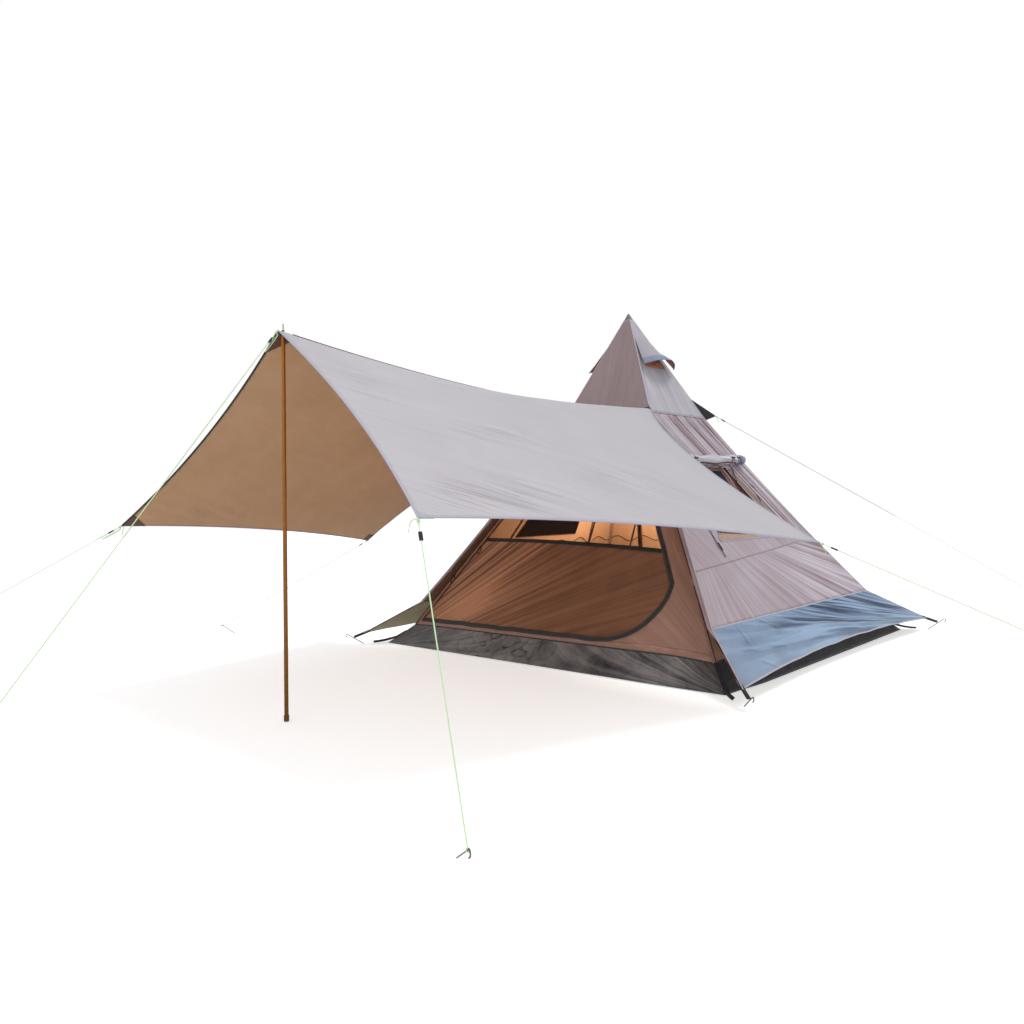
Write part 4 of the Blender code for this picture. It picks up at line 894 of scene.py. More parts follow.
# Where each line starts, and where its peg stands on the ground
LINES = {
    "front": (PEAK + Vector((0, -LINE_R, 0.0015)), (0, -4.647)),
    "front_left": (mirror(AWN_C), (-2.447, -4.819)),
    "front_right": (AWN_C.copy(), (1.759, -3.784)),
    "side_left": (mirror(AWN_D), (-3.04, -1.978)),
    "side_right": (AWN_D.copy(), (3.014, -0.399)),
    "rear_right": (TAB_END, (2.342, 2.37)),
    "rear_left": (mirror(TAB_END), (-2.342, 2.37)),
}
for name, (start, stake) in LINES.items():
    stake = Vector((*stake, 0))
    away = Vector((stake.x - start.x, stake.y - start.y, 0)).normalized()
    shaft = away * sin(LEAN) + UP * cos(LEAN)
    tie = stake + Vector((0, 0, PEG_R * sin(LEAN))) + shaft * TIE
    along = (tie - start).normalized()
    lean = abs(along.dot(shaft))
    top = start + along * 0.0012
    bottom = tie - along * (PEG_R + 0.0004 + LINE_R * lean) / sqrt(1 - lean * lean)
    rope = tube(f"line_{name}", [top.lerp(bottom, t) for t in spread(0, 1, 20)], LINE_R, "line")
    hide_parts(f"guy_line_{name}")
    square = along.cross(UP).normalized()
    other = along.cross(square)
    # A knot of three turns at the top, a short tail, slack at two of the lines, and a loop round the peg
    coil = [top + along * (0.005 + 0.013 * t) + (square * cos(t * 6 * pi) + other * sin(t * 6 * pi)) * 0.0046
            for t in spread(0, 1, 40)]
    tail = [coil[0] + square * 0.036 * t ** 0.6 + UP * -TAIL_DROP * t * t - away * 0.006 * sin(5 * t)
            for t in spread(0, 1, 12)]
    slack = [top + along * (0.014 + 0.13 * hump(t) ** 2) + square * 0.012 * sin(2 * pi * t)
             + other * 0.015 * smooth(0, 0.08, t) * (1 - smooth(0.92, 1, t)) for t in spread(0, 1, 26)]
    over = (away - shaft * away.dot(shaft)).normalized()
    flat = shaft.cross(over)
    ring = [tie + (over * cos(t) + flat * sin(t)) * (PEG_R + 0.0024) + shaft * 0.003 * sin(t / 2)
            for t in spread(0, 2 * pi, 25)]
    knots = [tube(f"{part}_{name}", points, radius, "line", sides=2) for part, points, radius in
             (("knot", coil, 0.0022), ("tail", tail, 0.0018), ("slack", slack, 0.0018), ("hitch", ring, 0.0020))
             if part != "slack" or name in ("front", "front_left")]


# ---- window flaps, rolled up ----
WALL_SLOPE = Vector((0, -(SKIRT_R - CAP_R), -(CAP_Z - SKIRT_Z))).normalized()
WALL_N = Vector((0, WALL_SLOPE.z, -WALL_SLOPE.y))
ROLL_TIES = (-0.30, 0.30, 0.40)
for face, label in SIDES:
    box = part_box(f"window_roll_{label}")
    middle = (Vector(box[0]) + Vector(box[1])) / 2
    turnabout = 1 if face == RIGHT else -1
    down_wall, off_wall = turn(face, *WALL_SLOPE), turn(face, *WALL_N)
    axis = turn(face, 1, 0, 0) - down_wall * ROLL_TILT * turnabout

    def around(angle):
        return down_wall * cos(angle) + off_wall * sin(angle)

    def roll_radius(share, angle):
        swell = 0.004 * cos(3 * pi * share)
        radius = (ROLL_R - 0.0025 + swell) * (1 - 0.45 * abs(share) ** 6)
        pinch = sum(bell(share - at * turnabout * 2 / ROLL_LENGTH, 0.02) for at in ROLL_TIES)
        folds = 0.0036 * rough(share * 6 + angle * 0.4, angle * 1.3, 3.0) + 0.0022 * sin(angle * 3 + share * 9)
        return radius * (0.97 - 0.16 * pinch) + folds * (1 - abs(share) ** 8)

    def roll_point(u, v):
        share, angle = 2 * u - 1, 2 * pi * v
        radius = roll_radius(share, 0.0 if v in (0, 1) else angle)
        offset = down_wall * cos(angle) * radius + off_wall * sin(angle) * radius
        return middle + axis * share * ROLL_LENGTH / 2 + offset

    roll = grid(f"roll_{label}_flap", roll_point, 97, 33, ["flap"], (ROLL_LENGTH, 0.22), 0.002, offset=-1.0,
                fan=lambda u, v: (v * 0.8 + u * 0.25, u * 0.4))
    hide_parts(f"window_roll_{label}")
    for end in (-1, 1):
        for k in range(3):
            spiral = [middle + axis * end * (ROLL_LENGTH / 2 - 0.003 - 0.004 * k)
                      + around(t * 4.6 * pi + 2.1 * k) * ((0.0195 - 0.0175 * t) * (1 - 0.04 * k))
                      for t in spread(0, 1, 70)]
            where = "rear" if end * turnabout > 0 else "front"
            tube(f"roll_{label}_end_{where}_{k}", spiral, 0.0019, "flap", sides=2)

    # The blue cloth of the flap's other side shows at the rear end, looser than the rest
    def end_point(u, v):
        along = 0.5 + turnabout * (0.385 + 0.112 * (rearward(face, u)))
        at, p = middle + axis * (2 * along - 1) * ROLL_LENGTH / 2, roll_point(min(max(along, 0), 1), v)
        swell = sin(pi * (rearward(face, u))) ** 0.6
        loose = 1.0 + 0.45 * swell + 0.06 * sin(9 * v + 7 * u)
        return at + (p - at) * loose + (down_wall * 0.012 + off_wall * 0.006) * swell
    rear_end = grid(f"roll_{label}_hem", end_point, 13, 33, ["flap_end"], (0.12, 0.22), 0.0016,
                    fan=lambda u, v: (v * 0.8 + u * 0.2, u * 0.2))
    # The flap's bound edge along the roll's underside: thick and dark brown, so that it also paints the shadow line
    # under the roll
    edge = []
    for t in spread(-0.88, 0.62, 40):
        share = t * turnabout
        reach = roll_radius(share, 0.35) + 0.004
        edge.append(middle + axis * share * ROLL_LENGTH / 2 + (down_wall * 0.97 + off_wall * 0.20) * reach)
    tube(f"roll_{label}_edge", edge, 0.0060, "seam")
    # Three ties with toggles
    for k, place in enumerate(ROLL_TIES):
        at = middle + axis * place * turnabout
        share = place * turnabout * 2 / ROLL_LENGTH
        ring = [at + around(angle) * (roll_radius(share, angle) + 0.0028) for angle in spread(0, 2 * pi, 33)]
        band(f"roll_{label}_tie_{k}", ring, [(p - at).normalized() for p in ring], 0.016, "seam", 0.0016)
        toggle = [ring[7] + axis * (t - 0.5) * 0.046 + off_wall * 0.007 for t in spread(0, 1, 6)]
        tube(f"roll_{label}_toggle_{k}", toggle, 0.0075, "plastic")
        knot = [ring[7] + off_wall * 0.004, ring[7] + off_wall * 0.010 + axis * 0.012, ring[5] + off_wall * 0.006
                + down_wall * 0.02, ring[4] + off_wall * 0.002 + down_wall * 0.045]
        tube(f"roll_{label}_loop_{k}", knot, 0.0022, "seam")

    def on_wall(y, z, out=0.0):
        return fly_point(face, y * turnabout / fly_r(z), z, out)

    # The loose strap that hangs over the window, its cord, and the side-release buckle under the awning
    strip = [on_wall(mix(0.16, 0.155, t), mix(1.335, 1.10, t), 0.022 * hump(t) + 0.003)
             for t in spread(0, 1, 12)]
    band(f"window_{label}_strap", strip, out_of(face), 0.030, "facing", 0.0016)
    cord = [on_wall(mix(0.345, 0.20, t), mix(1.335, 1.075, t), 0.008) for t in spread(0, 1, 8)]
    tube(f"window_{label}_tie", cord, 0.0028, "binding")
    for part, y0, y1, z0, z1, out, width, look, thick in (
            ("tab", 0.43, 0.53, 1.25, 1.17, 0.004, 0.012, "wall_dark", 0.0014),
            ("loop", 0.50, 0.475, 1.145, 1.045, 0.002, 0.010, "binding", 0.002)):
        cord = [on_wall(mix(y0, y1, t), mix(z0, z1, t), out) for t in spread(0, 1, 8)]
        band(f"window_{label}_{part}", cord, out_of(face), width, look, thick)
    strap = [on_wall(mix(-0.58, -0.60, t), mix(0.95, 0.69, t), 0.007 + 0.002 * sin(9 * t))
             for t in spread(0, 1, 14)]
    band(f"wall_{label}_strap", strap, out_of(face), 0.009, "binding", 0.0016)
    for k, (z0, z1, w) in enumerate(((0.742, 0.772, 0.017), (0.730, 0.742, 0.011), (0.772, 0.782, 0.011))):
        buckle = [on_wall(-0.592, z, 0.0095) for z in spread(z0, z1, 4)]
        band(f"wall_{label}_buckle_{k}", buckle, out_of(face), w, "plastic", 0.0055)
    # A brown facing along the window's rear edge, and a tan one along its sill
    def facing_point(u, v):
        z = mix(1.315, WINDOW_SILL_Z - 0.012, v)
        widening = (WINDOW_SILL_W - WINDOW_TOP_W) / 2 * (WINDOW_TOP_Z - z) / (WINDOW_TOP_Z - WINDOW_SILL_Z)
        near = WINDOW_TOP_W / 2 + widening
        y = mix(near + 0.004, mix(0.335, 0.66, v), rearward(face, u))
        share = y * turnabout / fly_r(z)
        return fly_point(face, share, z, wall_crease(face, share, z) + 0.0018)
    grid(f"window_{label}_facing", facing_point, 25, 61, ["facing"], (0.12, 0.6), 0.001,
         fan=lambda u, v: (u * 0.12 + v * 0.02, v * 0.5))
    edge = [facing_point(1 if turnabout > 0 else 0, v) + out_of(face) * 0.001 for v in spread(0, 1, 40)]
    band(f"window_{label}_facing_edge", edge, out_of(face), 0.009, "tan", 0.0012)
    sill = [turn(face, x, -fly_r(z) + 0.002, z) for x, z in
            ((-0.512, 0.797), (0.512, 0.797), (0.470, 0.868), (-0.476, 0.848))]
    slab(f"window_{label}_sill", sill, 0.001, "tan")
    line = [turn(face, mix(-0.46, 0.44, t) * turnabout, -fly_r(z) + 0.0005, z)
            for t, z in zip(spread(0, 1, 12), spread(0.846, 0.792, 12))]
    tube(f"window_{label}_sill_edge", line, 0.0042, "seam")
    # The window's edge is bound
    rim = along_edges(WINDOW, spread(0, 1, 24)[:-1])
    rim.append(rim[0])
    rim = [fly_point(face, x / fly_r(z), z, wall_crease(face, x / fly_r(z), z) + SEAM_OUT) for x, z in rim]
    band(f"window_{label}_binding", rim, out_of(face), 0.014, "hip", 0.0012)

# ---- inner tent ----
INNER_WINDOW = [(-0.50, 0.815), (0.32, 0.815), (0.24, 1.30), (-0.28, 1.30)]  # corners as (rearward, height)


def settle(p):
    """The raised edge as it stands: its front corners are drawn in at the right and out at the left."""
    fade = 1 - smooth(0.15, 0.45, p.z)
    right_pull = (1 - smooth(0.0, 0.5, (p.xy - Vector((FLOOR_R, -FLOOR_R))).length)) * fade
    left_pull = (1 - smooth(0.0, 0.4, (p.xy - Vector((-FLOOR_R, -FLOOR_R))).length)) * fade
    high = min(p.z / 0.15, 1)
    return p + Vector((-0.030, 0.008, -0.026 * high)) * right_pull + Vector((-0.030, 0.0, -0.02 * high)) * left_pull


def inner_point(face, share, z, out=0.0):
    r = inner_r(z)
    return settle(turn(face, share * r, -r - out, z))


def inner_fold(face, share, z):
    """Soft folds of an inner wall, flat about its window."""
    edge = min(1, (1 - abs(share)) * 5) * smooth(TUB_Z, TUB_Z + 0.12, z) * (1 - smooth(2.2, INNER_TOP_Z, z))
    y = abs(share * inner_r(z) * (1 if face == RIGHT else -1) + 0.09)
    if face != REAR:
        edge *= 1 - 0.97 * (1 - smooth(0.42, 0.60, y)) * smooth(0.70, 0.78, z) * (1 - smooth(1.34, 1.46, z))
    return edge * (0.005 * rough(share * 7, z * 1.1, face) + 0.003 * sin(share * 24 + z * 2))


for face, label in list(NAMES.items())[1:]:

    def wall_at(u, v):
        z, share = mix(INNER_TOP_Z, TUB_Z + GAP, v), 2 * u - 1
        return inner_point(face, share * 0.9992, z, min(inner_fold(face, share, z), 0.002))
    wall = grid(f"inner_{label}_cloth", wall_at, 49, 49, ["inner", "lit"], (2 * TUB_R, 2.55))
    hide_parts(f"inner_wall_{label}")
    if face != REAR:
        side = 1 if face == RIGHT else -1
        for inward, where in ((0.0030, "inside"), (-0.0045, "outside")):
            outline = [inner_point(face, y * side / inner_r(z), z, -inward) for y, z in INNER_WINDOW]
            slab(f"inner_{label}_window_{where}", outline, 0.0012, "black_net" if inward > 0 else "navy_net")
        rim = [inner_point(face, y * side / inner_r(z), z, -0.0045)
               for y, z in along_edges(INNER_WINDOW, spread(0, 1, 12))]
        tube(f"inner_{label}_window_edge", rim, 0.004, "seam")
    # The seam that dips across the wall, and the upright tapes
    dip = [inner_point(face, a, 0.765 - 0.03 * sin(a * 9 + 1) ** 2 + 0.012 * sin(a * 23), -0.004)
           for a in spread(-0.98, 0.98, 60)]
    tube(f"inner_{label}_seam", dip, 0.0036, "seam")
    for k, a in enumerate((-0.62, 0.62)):
        upright = [inner_point(face, a, z, -0.0035) for z in spread(0.60, 1.65, 20)]
        band(f"inner_{label}_upright_{k}", upright, -out_of(face, inner=True), 0.018, "seam", 0.001, lift=TAPE_LIFT)


def door_right(z):
    widest = inner_r(DOOR_WIDEST_Z) - WIDEST_MARGIN
    if z < DOOR_WIDEST_Z:
        t = (DOOR_WIDEST_Z - z) / (DOOR_WIDEST_Z - DOOR_SILL_Z)
        return mix(DOOR_CORNER_X, widest, sqrt(max(1 - t * t, 0)))
    return mix(widest, inner_r(DOOR_TOP_Z) - TOP_MARGIN, (z - DOOR_WIDEST_Z) / (DOOR_TOP_Z - DOOR_WIDEST_Z))


def door_left(z):
    return -(inner_r(z) - DOOR_LEFT_MARGIN)


def band_z(x):
    return BAND_Z - BAND_TILT * x - BAND_SAG * (x / door_right(DOOR_WIDEST_Z)) ** 2


def front(x, z, out=0.0):
    """A place on the inner tent's front wall."""
    return settle(Vector((x, -inner_r(z) - out, z)))


FRONT_N = out_of(FRONT, inner=True)
low_zs = [DOOR_SILL_Z + (DOOR_WIDEST_Z - DOOR_SILL_Z) * (1 - cos(t * pi / 2)) for t in spread(0, 1, 24)]
side_zs = (low_zs + spread(DOOR_WIDEST_Z, DOOR_TOP_Z, 30)[1:])[::-1]


def right_of_door(u, v):
    z = side_zs[round(v * (len(side_zs) - 1))]
    x = mix(door_right(z) + DOOR_GAP, inner_r(z) - DOOR_GAP, u)
    fold = 0.004 * hump(u) * rough(3 * u + 6 * z, z * 2 - 5 * u, 1.0)
    fold += 0.0035 * hump(u) * sin(20 * (z + 0.8 * x)) * (1 - smooth(0.4, 0.9, z))
    return front(x, z, fold)


def right_fan(u, v):
    """Creases run up and to the left from the tent's lower right corner."""
    p = right_of_door(u, min(max(v, 0), 1))
    return atan2(p.z + 0.10, FLOOR_R + 0.15 - p.x) * 1.2, p.z * 0.4


def left_of_door(u, v):
    z = side_zs[round(v * (len(side_zs) - 1))]
    return front(mix(-(inner_r(z) - DOOR_GAP), door_left(z) - DOOR_GAP, u), z)


wall = grid("inner_front_right_cloth", right_of_door, 17, len(side_zs), ["inner", "lit"], (0.4, 1.6),
            fan=right_fan)
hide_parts("inner_wall_front")
pieces = [grid("inner_front_left_cloth", left_of_door, 3, len(side_zs), ["inner", "lit"], (0.045, 1.6)),
          grid("inner_front_top_cloth", lambda u, v: front(
              (2 * u - 1) * (inner_r(mix(INNER_TOP_Z, DOOR_TOP_Z + DOOR_GAP, v)) - DOOR_GAP),
              mix(INNER_TOP_Z, DOOR_TOP_Z + DOOR_GAP, v), 0.003 * hump(v) * sin(u * 17)), 25, 21,
               ["inner", "lit"], (0.8, 0.95)),
          grid("inner_front_sill_cloth", lambda u, v: front(
              (2 * u - 1) * (inner_r(mix(DOOR_SILL_Z - DOOR_GAP, TUB_Z + GAP, v)) - DOOR_GAP),
              mix(DOOR_SILL_Z - DOOR_GAP, TUB_Z + GAP, v)), 61, 4, ["inner", "lit"], (2.6, 0.045))]


def door_point(z_at, share, out):
    z = z_at(0.0)
    for _ in range(3):
        x = mix(door_left(z), door_right(z), share)
        z = z_at(x)
    return front(x, z, out(share, z))


def door_angle(x, z):
    """The direction of a place on the door's cloth from a point far below its lower left corner."""
    return atan2(z - DOOR_SILL_Z + 0.62, x - door_left(DOOR_SILL_Z) + 0.85)


def door_crease(share, z):
    down = (z - DOOR_SILL_Z) / (BAND_Z - DOOR_SILL_Z)
    angle = door_angle(mix(door_left(z), door_right(z), share), z)
    fade = hump(share) ** 0.7 * hump(min(max(down, 0), 1)) ** 0.8
    fine = sin(118 * angle + 3 * rough(angle * 9, share * 1.5, 1)) * max(0, 1 - share * 1.5)
    fine += 1.3 * rough(angle * 46, share * 0.8, 2.0) * (1.05 - share) + 0.45 * sin(26 * angle) * (1 - share * 0.7)
    return 0.0085 * fine * fade


def panel_at(u, v):
    rise = 1 - cos((1 - v) * pi / 2)
    return door_point(lambda x: mix(DOOR_SILL_Z, band_z(x) - GAP, rise), u, door_crease)


def net_at(u, v):
    return door_point(lambda x: mix(DOOR_TOP_Z, band_z(x) + GAP, v), u, lambda s, z: 0.0)


def panel_fan(u, v):
    p = panel_at(u, min(max(v, 0), 1))
    return door_angle(p.x, p.z) * 3.2, hypot(p.x - door_left(DOOR_SILL_Z), p.z) * 0.4


# amount is highest at the door's left, which its lift paints lighter, and shade paints a highlight on its lower
# left and darkens the rest a little: painted sheen
panel = grid("door_cloth", panel_at, 121, 61, ["door", "lit"], (2.2, 0.65), fan=panel_fan,
             amount=lambda u, v: 1 - 0.8 * smooth(0.10, 0.75, u), shade=lambda u, v: 0.08 - 0.68 * exp(
                 -((u - 0.18 - 0.12 * (0.6 - v)) / 0.09) ** 2 - ((v - 0.58) / 0.30) ** 2))
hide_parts("door_panel")
mesh = grid("door_mesh", net_at, 33, 25, ["net"], (1.9, 0.85), 0.0008)
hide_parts("door_net")

# The door's zip: a tape with a line of teeth, round the D
zip_path = [(mix(door_left(DOOR_SILL_Z), DOOR_CORNER_X, t), DOOR_SILL_Z) for t in spread(0, 1, 50)[:-1]]
zip_path += [(door_right(z), z) for z in side_zs[::-1]]
zip_points = [front(x + 0.004 * rough(x * 9, z * 9, 1.0), z + 0.004 * rough(x * 9, z * 9, 5.0), 0.0034)
              for x, z in zip_path]
band("door_zip_tape", zip_points, FRONT_N, 0.034, "zip", 0.0012)
tube("door_zip_teeth", [p + FRONT_N * 0.0022 for p in zip_points], 0.0030, "teeth")
left_edge = [front(door_left(z), z, 0.0025) for z in spread(DOOR_SILL_Z, DOOR_TOP_Z, 40)]
band("door_left_tape", left_edge, FRONT_N, 0.016, "seam", 0.0012)
line = [front(x, band_z(x), 0.0028) for x in spread(door_left(0.80) + 0.005, door_right(0.73) - 0.005, 60)]
band("door_band", line, FRONT_N, 0.030, "binding", 0.0014)
# Upright tapes on the net, its tie-back and the loops that hold the rolled door
for k, (x0, z0, z1) in enumerate(((0.52, 0.765, 1.3), (0.17, 0.78, 1.5))):
    tape = [front(mix(x0, x0 - 0.02, t), mix(z0, z1, t), 0.0024) for t in spread(0, 1, 14)]
    band(f"door_mesh_tape_{k}", tape, FRONT_N, 0.014, "seam", 0.001)
for k, (x, z) in enumerate(((-1.075, 0.53), (-0.90, 0.76))):
    loop = [front(x + 0.020 * sin(2 * pi * t) + 0.02 * t, z - 0.030 * (1 - cos(2 * pi * t)),
                  0.006) for t in spread(0, 1, 14)]
    tube(f"door_tie_{k}", loop, 0.0035, "binding")
hip = [Vector((inner_r(z) * 0.999, -inner_r(z) - 0.001, z)) for z in spread(TUB_Z, 1.72, 40)]
tube("inner_hip_right", hip, 0.0035, "seam")
tube("inner_hip_left", [mirror(p) for p in hip], 0.0035, "seam")

# ---- groundsheet ----
def floor_at(u, v):
    half = FLOOR_R - 0.004
    x, y = (2 * u - 1) * half, (1 - 2 * v) * half
    dip = 0.0006 * rough(x * 3, y * 3, 1.0) + 0.0004 * rough(x * 11, y * 11, 1.0)
    return settle(Vector((x, y, 0.0012 + abs(dip))))


floor = grid("floor_cloth", floor_at, 61, 61, ["floor"], (2 * FLOOR_R, 2 * FLOOR_R), 0.0012)
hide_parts("groundsheet")
def tub_crumples(x, z):
    """The large and the small crumples of the groundsheet's front edge."""
    return rough(x * 8, z * 14, 2.0), rough(x * 17, z * 24, 5.0)


def tub_fan(u, v):
    """Creases run out of both corners, along the raised edge."""
    x, y = u * 2.9, (1 - v) * 0.21
    return (atan2(y + 0.03, x + 0.12) * (1 - u) - atan2(y + 0.03, 3.02 - x) * u) * 2.4, u * 2.0


def tub_shade(u, v):
    """Darker towards the right, with painted shade in the sharp creases where it is crumpled."""
    x, z = (2 * u - 1) * TUB_REACH, TUB_Z * (1 - v)
    loose = 0.25 + bell(x + 0.30, 0.42)
    large, small = tub_crumples(x, z)
    sharp = bell(large, 0.06) + 0.6 * bell(small, 0.07)
    return 0.20 * smooth(0.45, 0.95, u) - 0.06 * (1 - smooth(0.0, 0.3, u)) + loose * (0.34 * sharp - 0.14)


for face, label in NAMES.items():
    def tub_at(u, v):
        z, share = mix(TUB_Z - GAP, 0.0030, v), 2 * u - 1
        crumple = 0.0
        if face == FRONT:
            middle = hump(v)
            x = share * TUB_REACH
            wave = sin(pi * 11 * share) + 0.7 * sin(pi * 18.7 * share)
            loose = bell(x + 0.30, 0.38) + 0.35
            large, small = tub_crumples(x, z)
            ridge = abs(large) + 0.6 * abs(small)
            crumple = 0.0065 * wave + loose * (0.034 * (ridge - 0.30) + 0.012 * rough(x * 26, z * 30, 8.0))
            crumple *= middle * (1 - share ** 4)
        return inner_point(face, share * 0.9995, z, crumple)

    wall = grid(f"tub_{label}_cloth", tub_at, *((301, 31) if face == FRONT else (41, 13)),
                ["tub" if face == FRONT else "tub_side"], (2.85, 0.21), fan=tub_fan if face == FRONT else None,
                shade=tub_shade)
    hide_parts(f"tub_wall_{label}")
    seam = [inner_point(face, a, TUB_Z, 0.0026) for a in spread(-0.995, 0.995, 50)]
    band(f"tub_{label}_seam", seam, out_of(face, inner=True), 0.009, "zip", 0.0012)
    # A strap comes down from each corner of the raised edge to its peg
    a = turn(face, 1, -1, 0).normalized()
    steps = ((FLOOR_R - 0.105, 0.10), (FLOOR_R - 0.05, 0.052), (FLOOR_R + 0.012, 0.028), (FLOOR_R + 0.050, 0.018),
             (FLOOR_R + 0.085, 0.014))[2 if face == FRONT else 0:]
    strap = [settle(Vector((a.x * r * sqrt(2), a.y * r * sqrt(2), z))) for r, z in steps]
    if face == FRONT:
        strap.insert(0, settle(Vector((FLOOR_R - 0.02, 0.02 - FLOOR_R, 0.03))))
    band(f"floor_{label}_strap", strap, (a * 0.4 + Vector((a.y, -a.x, 0)) * (1 if face == FRONT else -1)
                                         + UP).normalized(), 0.022, "navy", 0.0018)

# ---- awning ----
def hollow_edge(start, end, depth, towards, share):
    chord = (end - start).normalized()
    inward = towards - (start + end) / 2
    inward = (inward - chord * inward.dot(chord)).normalized()
    return start + (end - start) * share + inward * depth * 4 * share * (1 - share)


MIDDLE = (PEAK + AWN_F + AWN_C + AWN_D) / 4
# Groups of fine folds: place and size along and across, slope, turns and height
AWNING_FOLDS = ((0.19, 0.91, 0.17, 0.09, 0.50, 95, 0.0046), (0.36, 0.55, 0.20, 0.06, 0.16, 110, 0.0026),
                (0.62, 0.80, 0.16, 0.08, 0.30, 100, 0.0026), (0.08, 0.30, 0.10, 0.14, 0.55, 80, 0.0022))


def awning_point(u, v, fine=True):
    """Right half of the awning: u runs from front to rear, v from the ridge to the side edge."""
    def ridge(u):
        past = max(u - LIP / (PEAK - AWN_F).length, 0)
        return PEAK.lerp(AWN_F, u) - Vector((0, 0, RIDGE_SAG * 4 * past * (1 - u)))

    def side_edge(u):
        return hollow_edge(AWN_C, AWN_D, SIDE_CUT, MIDDLE, u)

    def rear_edge(v):
        if v < T_SHARE:
            return AWN_F.lerp(AWN_T, v / T_SHARE)
        return hollow_edge(AWN_T, AWN_D, REAR_CUT, MIDDLE, (v - T_SHARE) / (1 - T_SHARE))

    straight = ridge(u).lerp(side_edge(u), v) + hollow_edge(PEAK, AWN_C, FRONT_CUT, MIDDLE, v).lerp(rear_edge(v), u)
    p = straight - ridge(0).lerp(side_edge(0), v).lerp(ridge(1).lerp(side_edge(1), v), u)
    p.z += 0.006 * sin(10 * pi * u + 3 * v) * hump(u) * hump(v) * v
    if fine:
        inside = hump(min(max(u, 0), 1)) * hump(v)
        c = (v - 1) * 1.3 + u * 0.55
        p.z += 0.0045 * inside * rough(c * 12, u * 1.6 + v, 4.0) + 0.006 * inside * rough(u * 3, v * 2, 1.0)
        for u0, v0, wide, tall, slope, turns, high in AWNING_FOLDS:
            near = exp(-((v - v0) / tall) ** 2 - ((u - u0) / wide) ** 2) * min(1, (1 - v) * 12)
            p.z += high * near * sin(turns * (v - slope * u) + 2 * rough(u * 4, v * 4, 6.0))
    return p


def awning_amount(u, v):
    """How creased the awning is, and how much painted light and shade its creases get: most in the groups of folds.
    """
    strong = max(exp(-((v - v0) / tall) ** 2 - ((u - u0) / wide) ** 2) * high / AWNING_FOLDS[0][-1]
                 for u0, v0, wide, tall, slope, turns, high in AWNING_FOLDS)
    return 0.12 + 0.88 * strong


def awning_at(u, v):
    """Across from the left edge to the right, v from rear to front."""
    across = 2 * u - 1
    p = awning_point(1 - v, abs(across))
    return Vector((copysign(p.x, across), p.y, p.z)) if across else Vector((0, p.y, p.z))


columns = sorted(set(spread(0, 1, 161) + [0.5 - T_SHARE / 2, 0.5 + T_SHARE / 2]))
canopy = grid("awning_cloth", awning_at, columns, 81, ["awning", "awning_in"], (3.6, 3.0), 0.0013,
              fan=lambda u, v: (abs(2 * u - 1) * (1.7 - 0.6 * (1 - v)) - (1 - v) * 0.55, v * 2.6),
              amount=lambda u, v: awning_amount(1 - v, abs(2 * u - 1)))
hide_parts("awning_right", "awning_left")
awning_edges = {
    "front": [awning_point(0, v, False) for v in spread(0, 1, 60)],
    "side": [awning_point(u, 1, False) for u in spread(0, 1, 60)],
    "rear": [awning_point(1, v, False) for v in spread(T_SHARE, 1, 50)],
}
for name, points in awning_edges.items():
    for sign, label in HANDS:
        line = [Vector((p.x * sign, p.y, p.z + 0.0006)) for p in points]
        look = "binding" if (name, label) == ("front", "left") else "hem"
        tube(f"awning_{name}_hem_{label}", line, 0.0034 if look == "hem" else 0.0055, look)
ridge = [awning_point(u, 0, False) + UP * 0.0014 for u in spread(0.03, 1, 50)]
band("awning_ridge_seam", ridge, UP, 0.014, "hem", 0.001)
under = [awning_point(u, 0, False) - UP * 0.0008 for u in spread(0.03, 1, 50)]
band("awning_ridge_under", under, -UP, 0.014, "awning_seam", 0.001)
# A dark navy tube along the awning's rear edge where it meets the cap: a painted shadow line
strip = [mirror(AWN_T).lerp(AWN_F, t) for t in spread(0, 1, 16)[:-1]]
strip += [AWN_F.lerp(AWN_T, t) for t in spread(0, 1, 16)]
tube("awning_rear_painted_shadow", [p + UP * 0.0006 for p in strip], 0.0050, "navy")


def corner_patch(name, corner_u, corner_v, size, sign, under):
    """A doubled patch over a corner of the awning, on its underside or its top."""
    def at(u, v):
        a = corner_u + (size if corner_u < 0.5 else -size) * v * 0.9
        b = corner_v + (size if corner_v < 0.5 else -size) * u
        if corner_u < 0.5 < corner_v:  # a triangle
            a, b = size * v * (1 - 0.97 * u), corner_v - size * u
        if corner_u < 0.5 and corner_v < 0.5:
            a, b = size * 0.55 * v * (1 - u * 0.9), size * u
        p = awning_point(a, b)
        return Vector((p.x * sign, p.y, p.z + (-0.0034 if under else 0.0026)))
    return grid(name, at, 13, 13, ["patch"], (size * 2, size * 3), 0.0012, offset=0.0)


for sign, label in HANDS:
    corner_patch(f"awning_peak_patch_{label}", 0, 0, 0.085, sign, True)
    corner_patch(f"awning_front_patch_{label}", 0, 1, 0.030 if sign > 0 else 0.065, sign, True)
    corner_patch(f"awning_rear_patch_{label}", 1, 1, 0.035, sign, True)
# A grommet round the spike
eye = [Vector((0.0062 * cos(t), POLE_Y + 0.0062 * sin(t), PEAK.z + 0.0026)) for t in
       spread(0, 2 * pi, 25)]
tube("awning_grommet", eye, 0.0020, "steel")

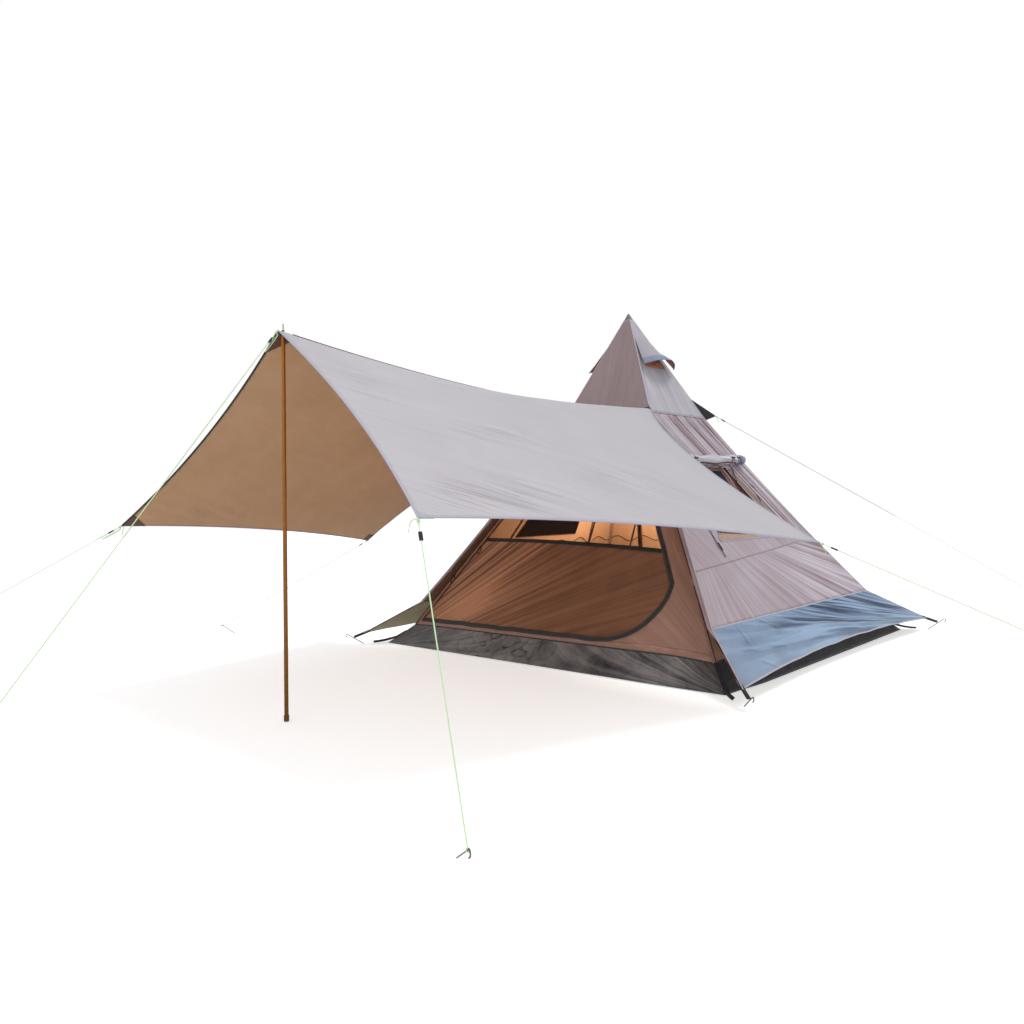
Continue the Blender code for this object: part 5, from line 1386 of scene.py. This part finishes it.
# ---- finishes of the model's own pieces ----
LOOKS = (("centre_pole", "steel_pole"), ("front_pole", "bronze"), ("guy_peg", "steel"), ("corner_peg", "steel"),
         ("runner", "plastic"), ("door_zip_slider", "plastic"), ("vent_prop", "plastic"))
for name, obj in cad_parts.items():
    for start, look in LOOKS:
        if name.startswith(start):
            obj.data.materials.clear()
            obj.data.materials.append(M[look])

# ---- stage and light ----
SKY_LIGHT, GROUND_GLOW, GROUND_Z = 0.62, 0.54, -0.004


def stage():
    """White ground and sky, which the camera sees brighter than they light the tent."""
    g = material("floor_stage")
    g.surface({"Base Color": (0.71, 0.73, 0.75, 1), "Roughness": 1.0, "Specular IOR Level": 0.0})
    glow = g.node("Emission", {"Strength": g.times(g.seen(), GROUND_GLOW)})
    g.show(g.node("AddShader", {0: g.tree.nodes["Principled BSDF"].outputs[0], 1: glow.outputs[0]}))
    shape = bmesh.new()
    bmesh.ops.create_grid(shape, x_segments=8, y_segments=8, size=60)
    ground = link_mesh("ground", shape)
    ground.data.materials.append(g.owner)
    ground.location.z = GROUND_Z
    world = bpy.data.worlds.new("studio")
    bpy.context.scene.world = world
    sky = Graph(world)
    sky.plug(sky.tree.nodes["Background"], {"Strength": sky.ramp(sky.seen(), SKY_LIGHT, 1.0),
                                            "Color": (1, 1, 1, 1)})


def lamp(name, kind, energy, towards, size, colour=(1, 1, 1), place=None):
    data = bpy.data.lights.new(name, kind)
    data.energy, data.color = energy, colour
    if kind == "SUN":
        data.angle = size
    elif kind == "POINT":
        data.shadow_soft_size = size
    else:
        data.shape, data.size = "DISK", size
    obj = link(name, data)
    obj.location = place or (0, 0, 8)
    obj.rotation_euler = Vector(towards).to_track_quat("-Z", "Y").to_euler()
    obj.visible_camera = obj.visible_glossy = False


stage()
lamp("key_sun", "SUN", 1.55, (-0.25, -0.35, -1.0), radians(18), (1.0, 0.98, 0.95))
lamp("fill", "AREA", 160, (-0.5, 0.9, -0.30), 6.0, place=(4.5, -9.0, 4.0))
# Daylight that comes through the cloth, which the double skin of the model would stop
lamp("through_cloth", "POINT", 70, (0, 0, -1), 0.5, (1.0, 0.88, 0.74), (-0.25, 0.25, 1.05))
bpy.context.scene.view_settings.view_transform = "Standard"
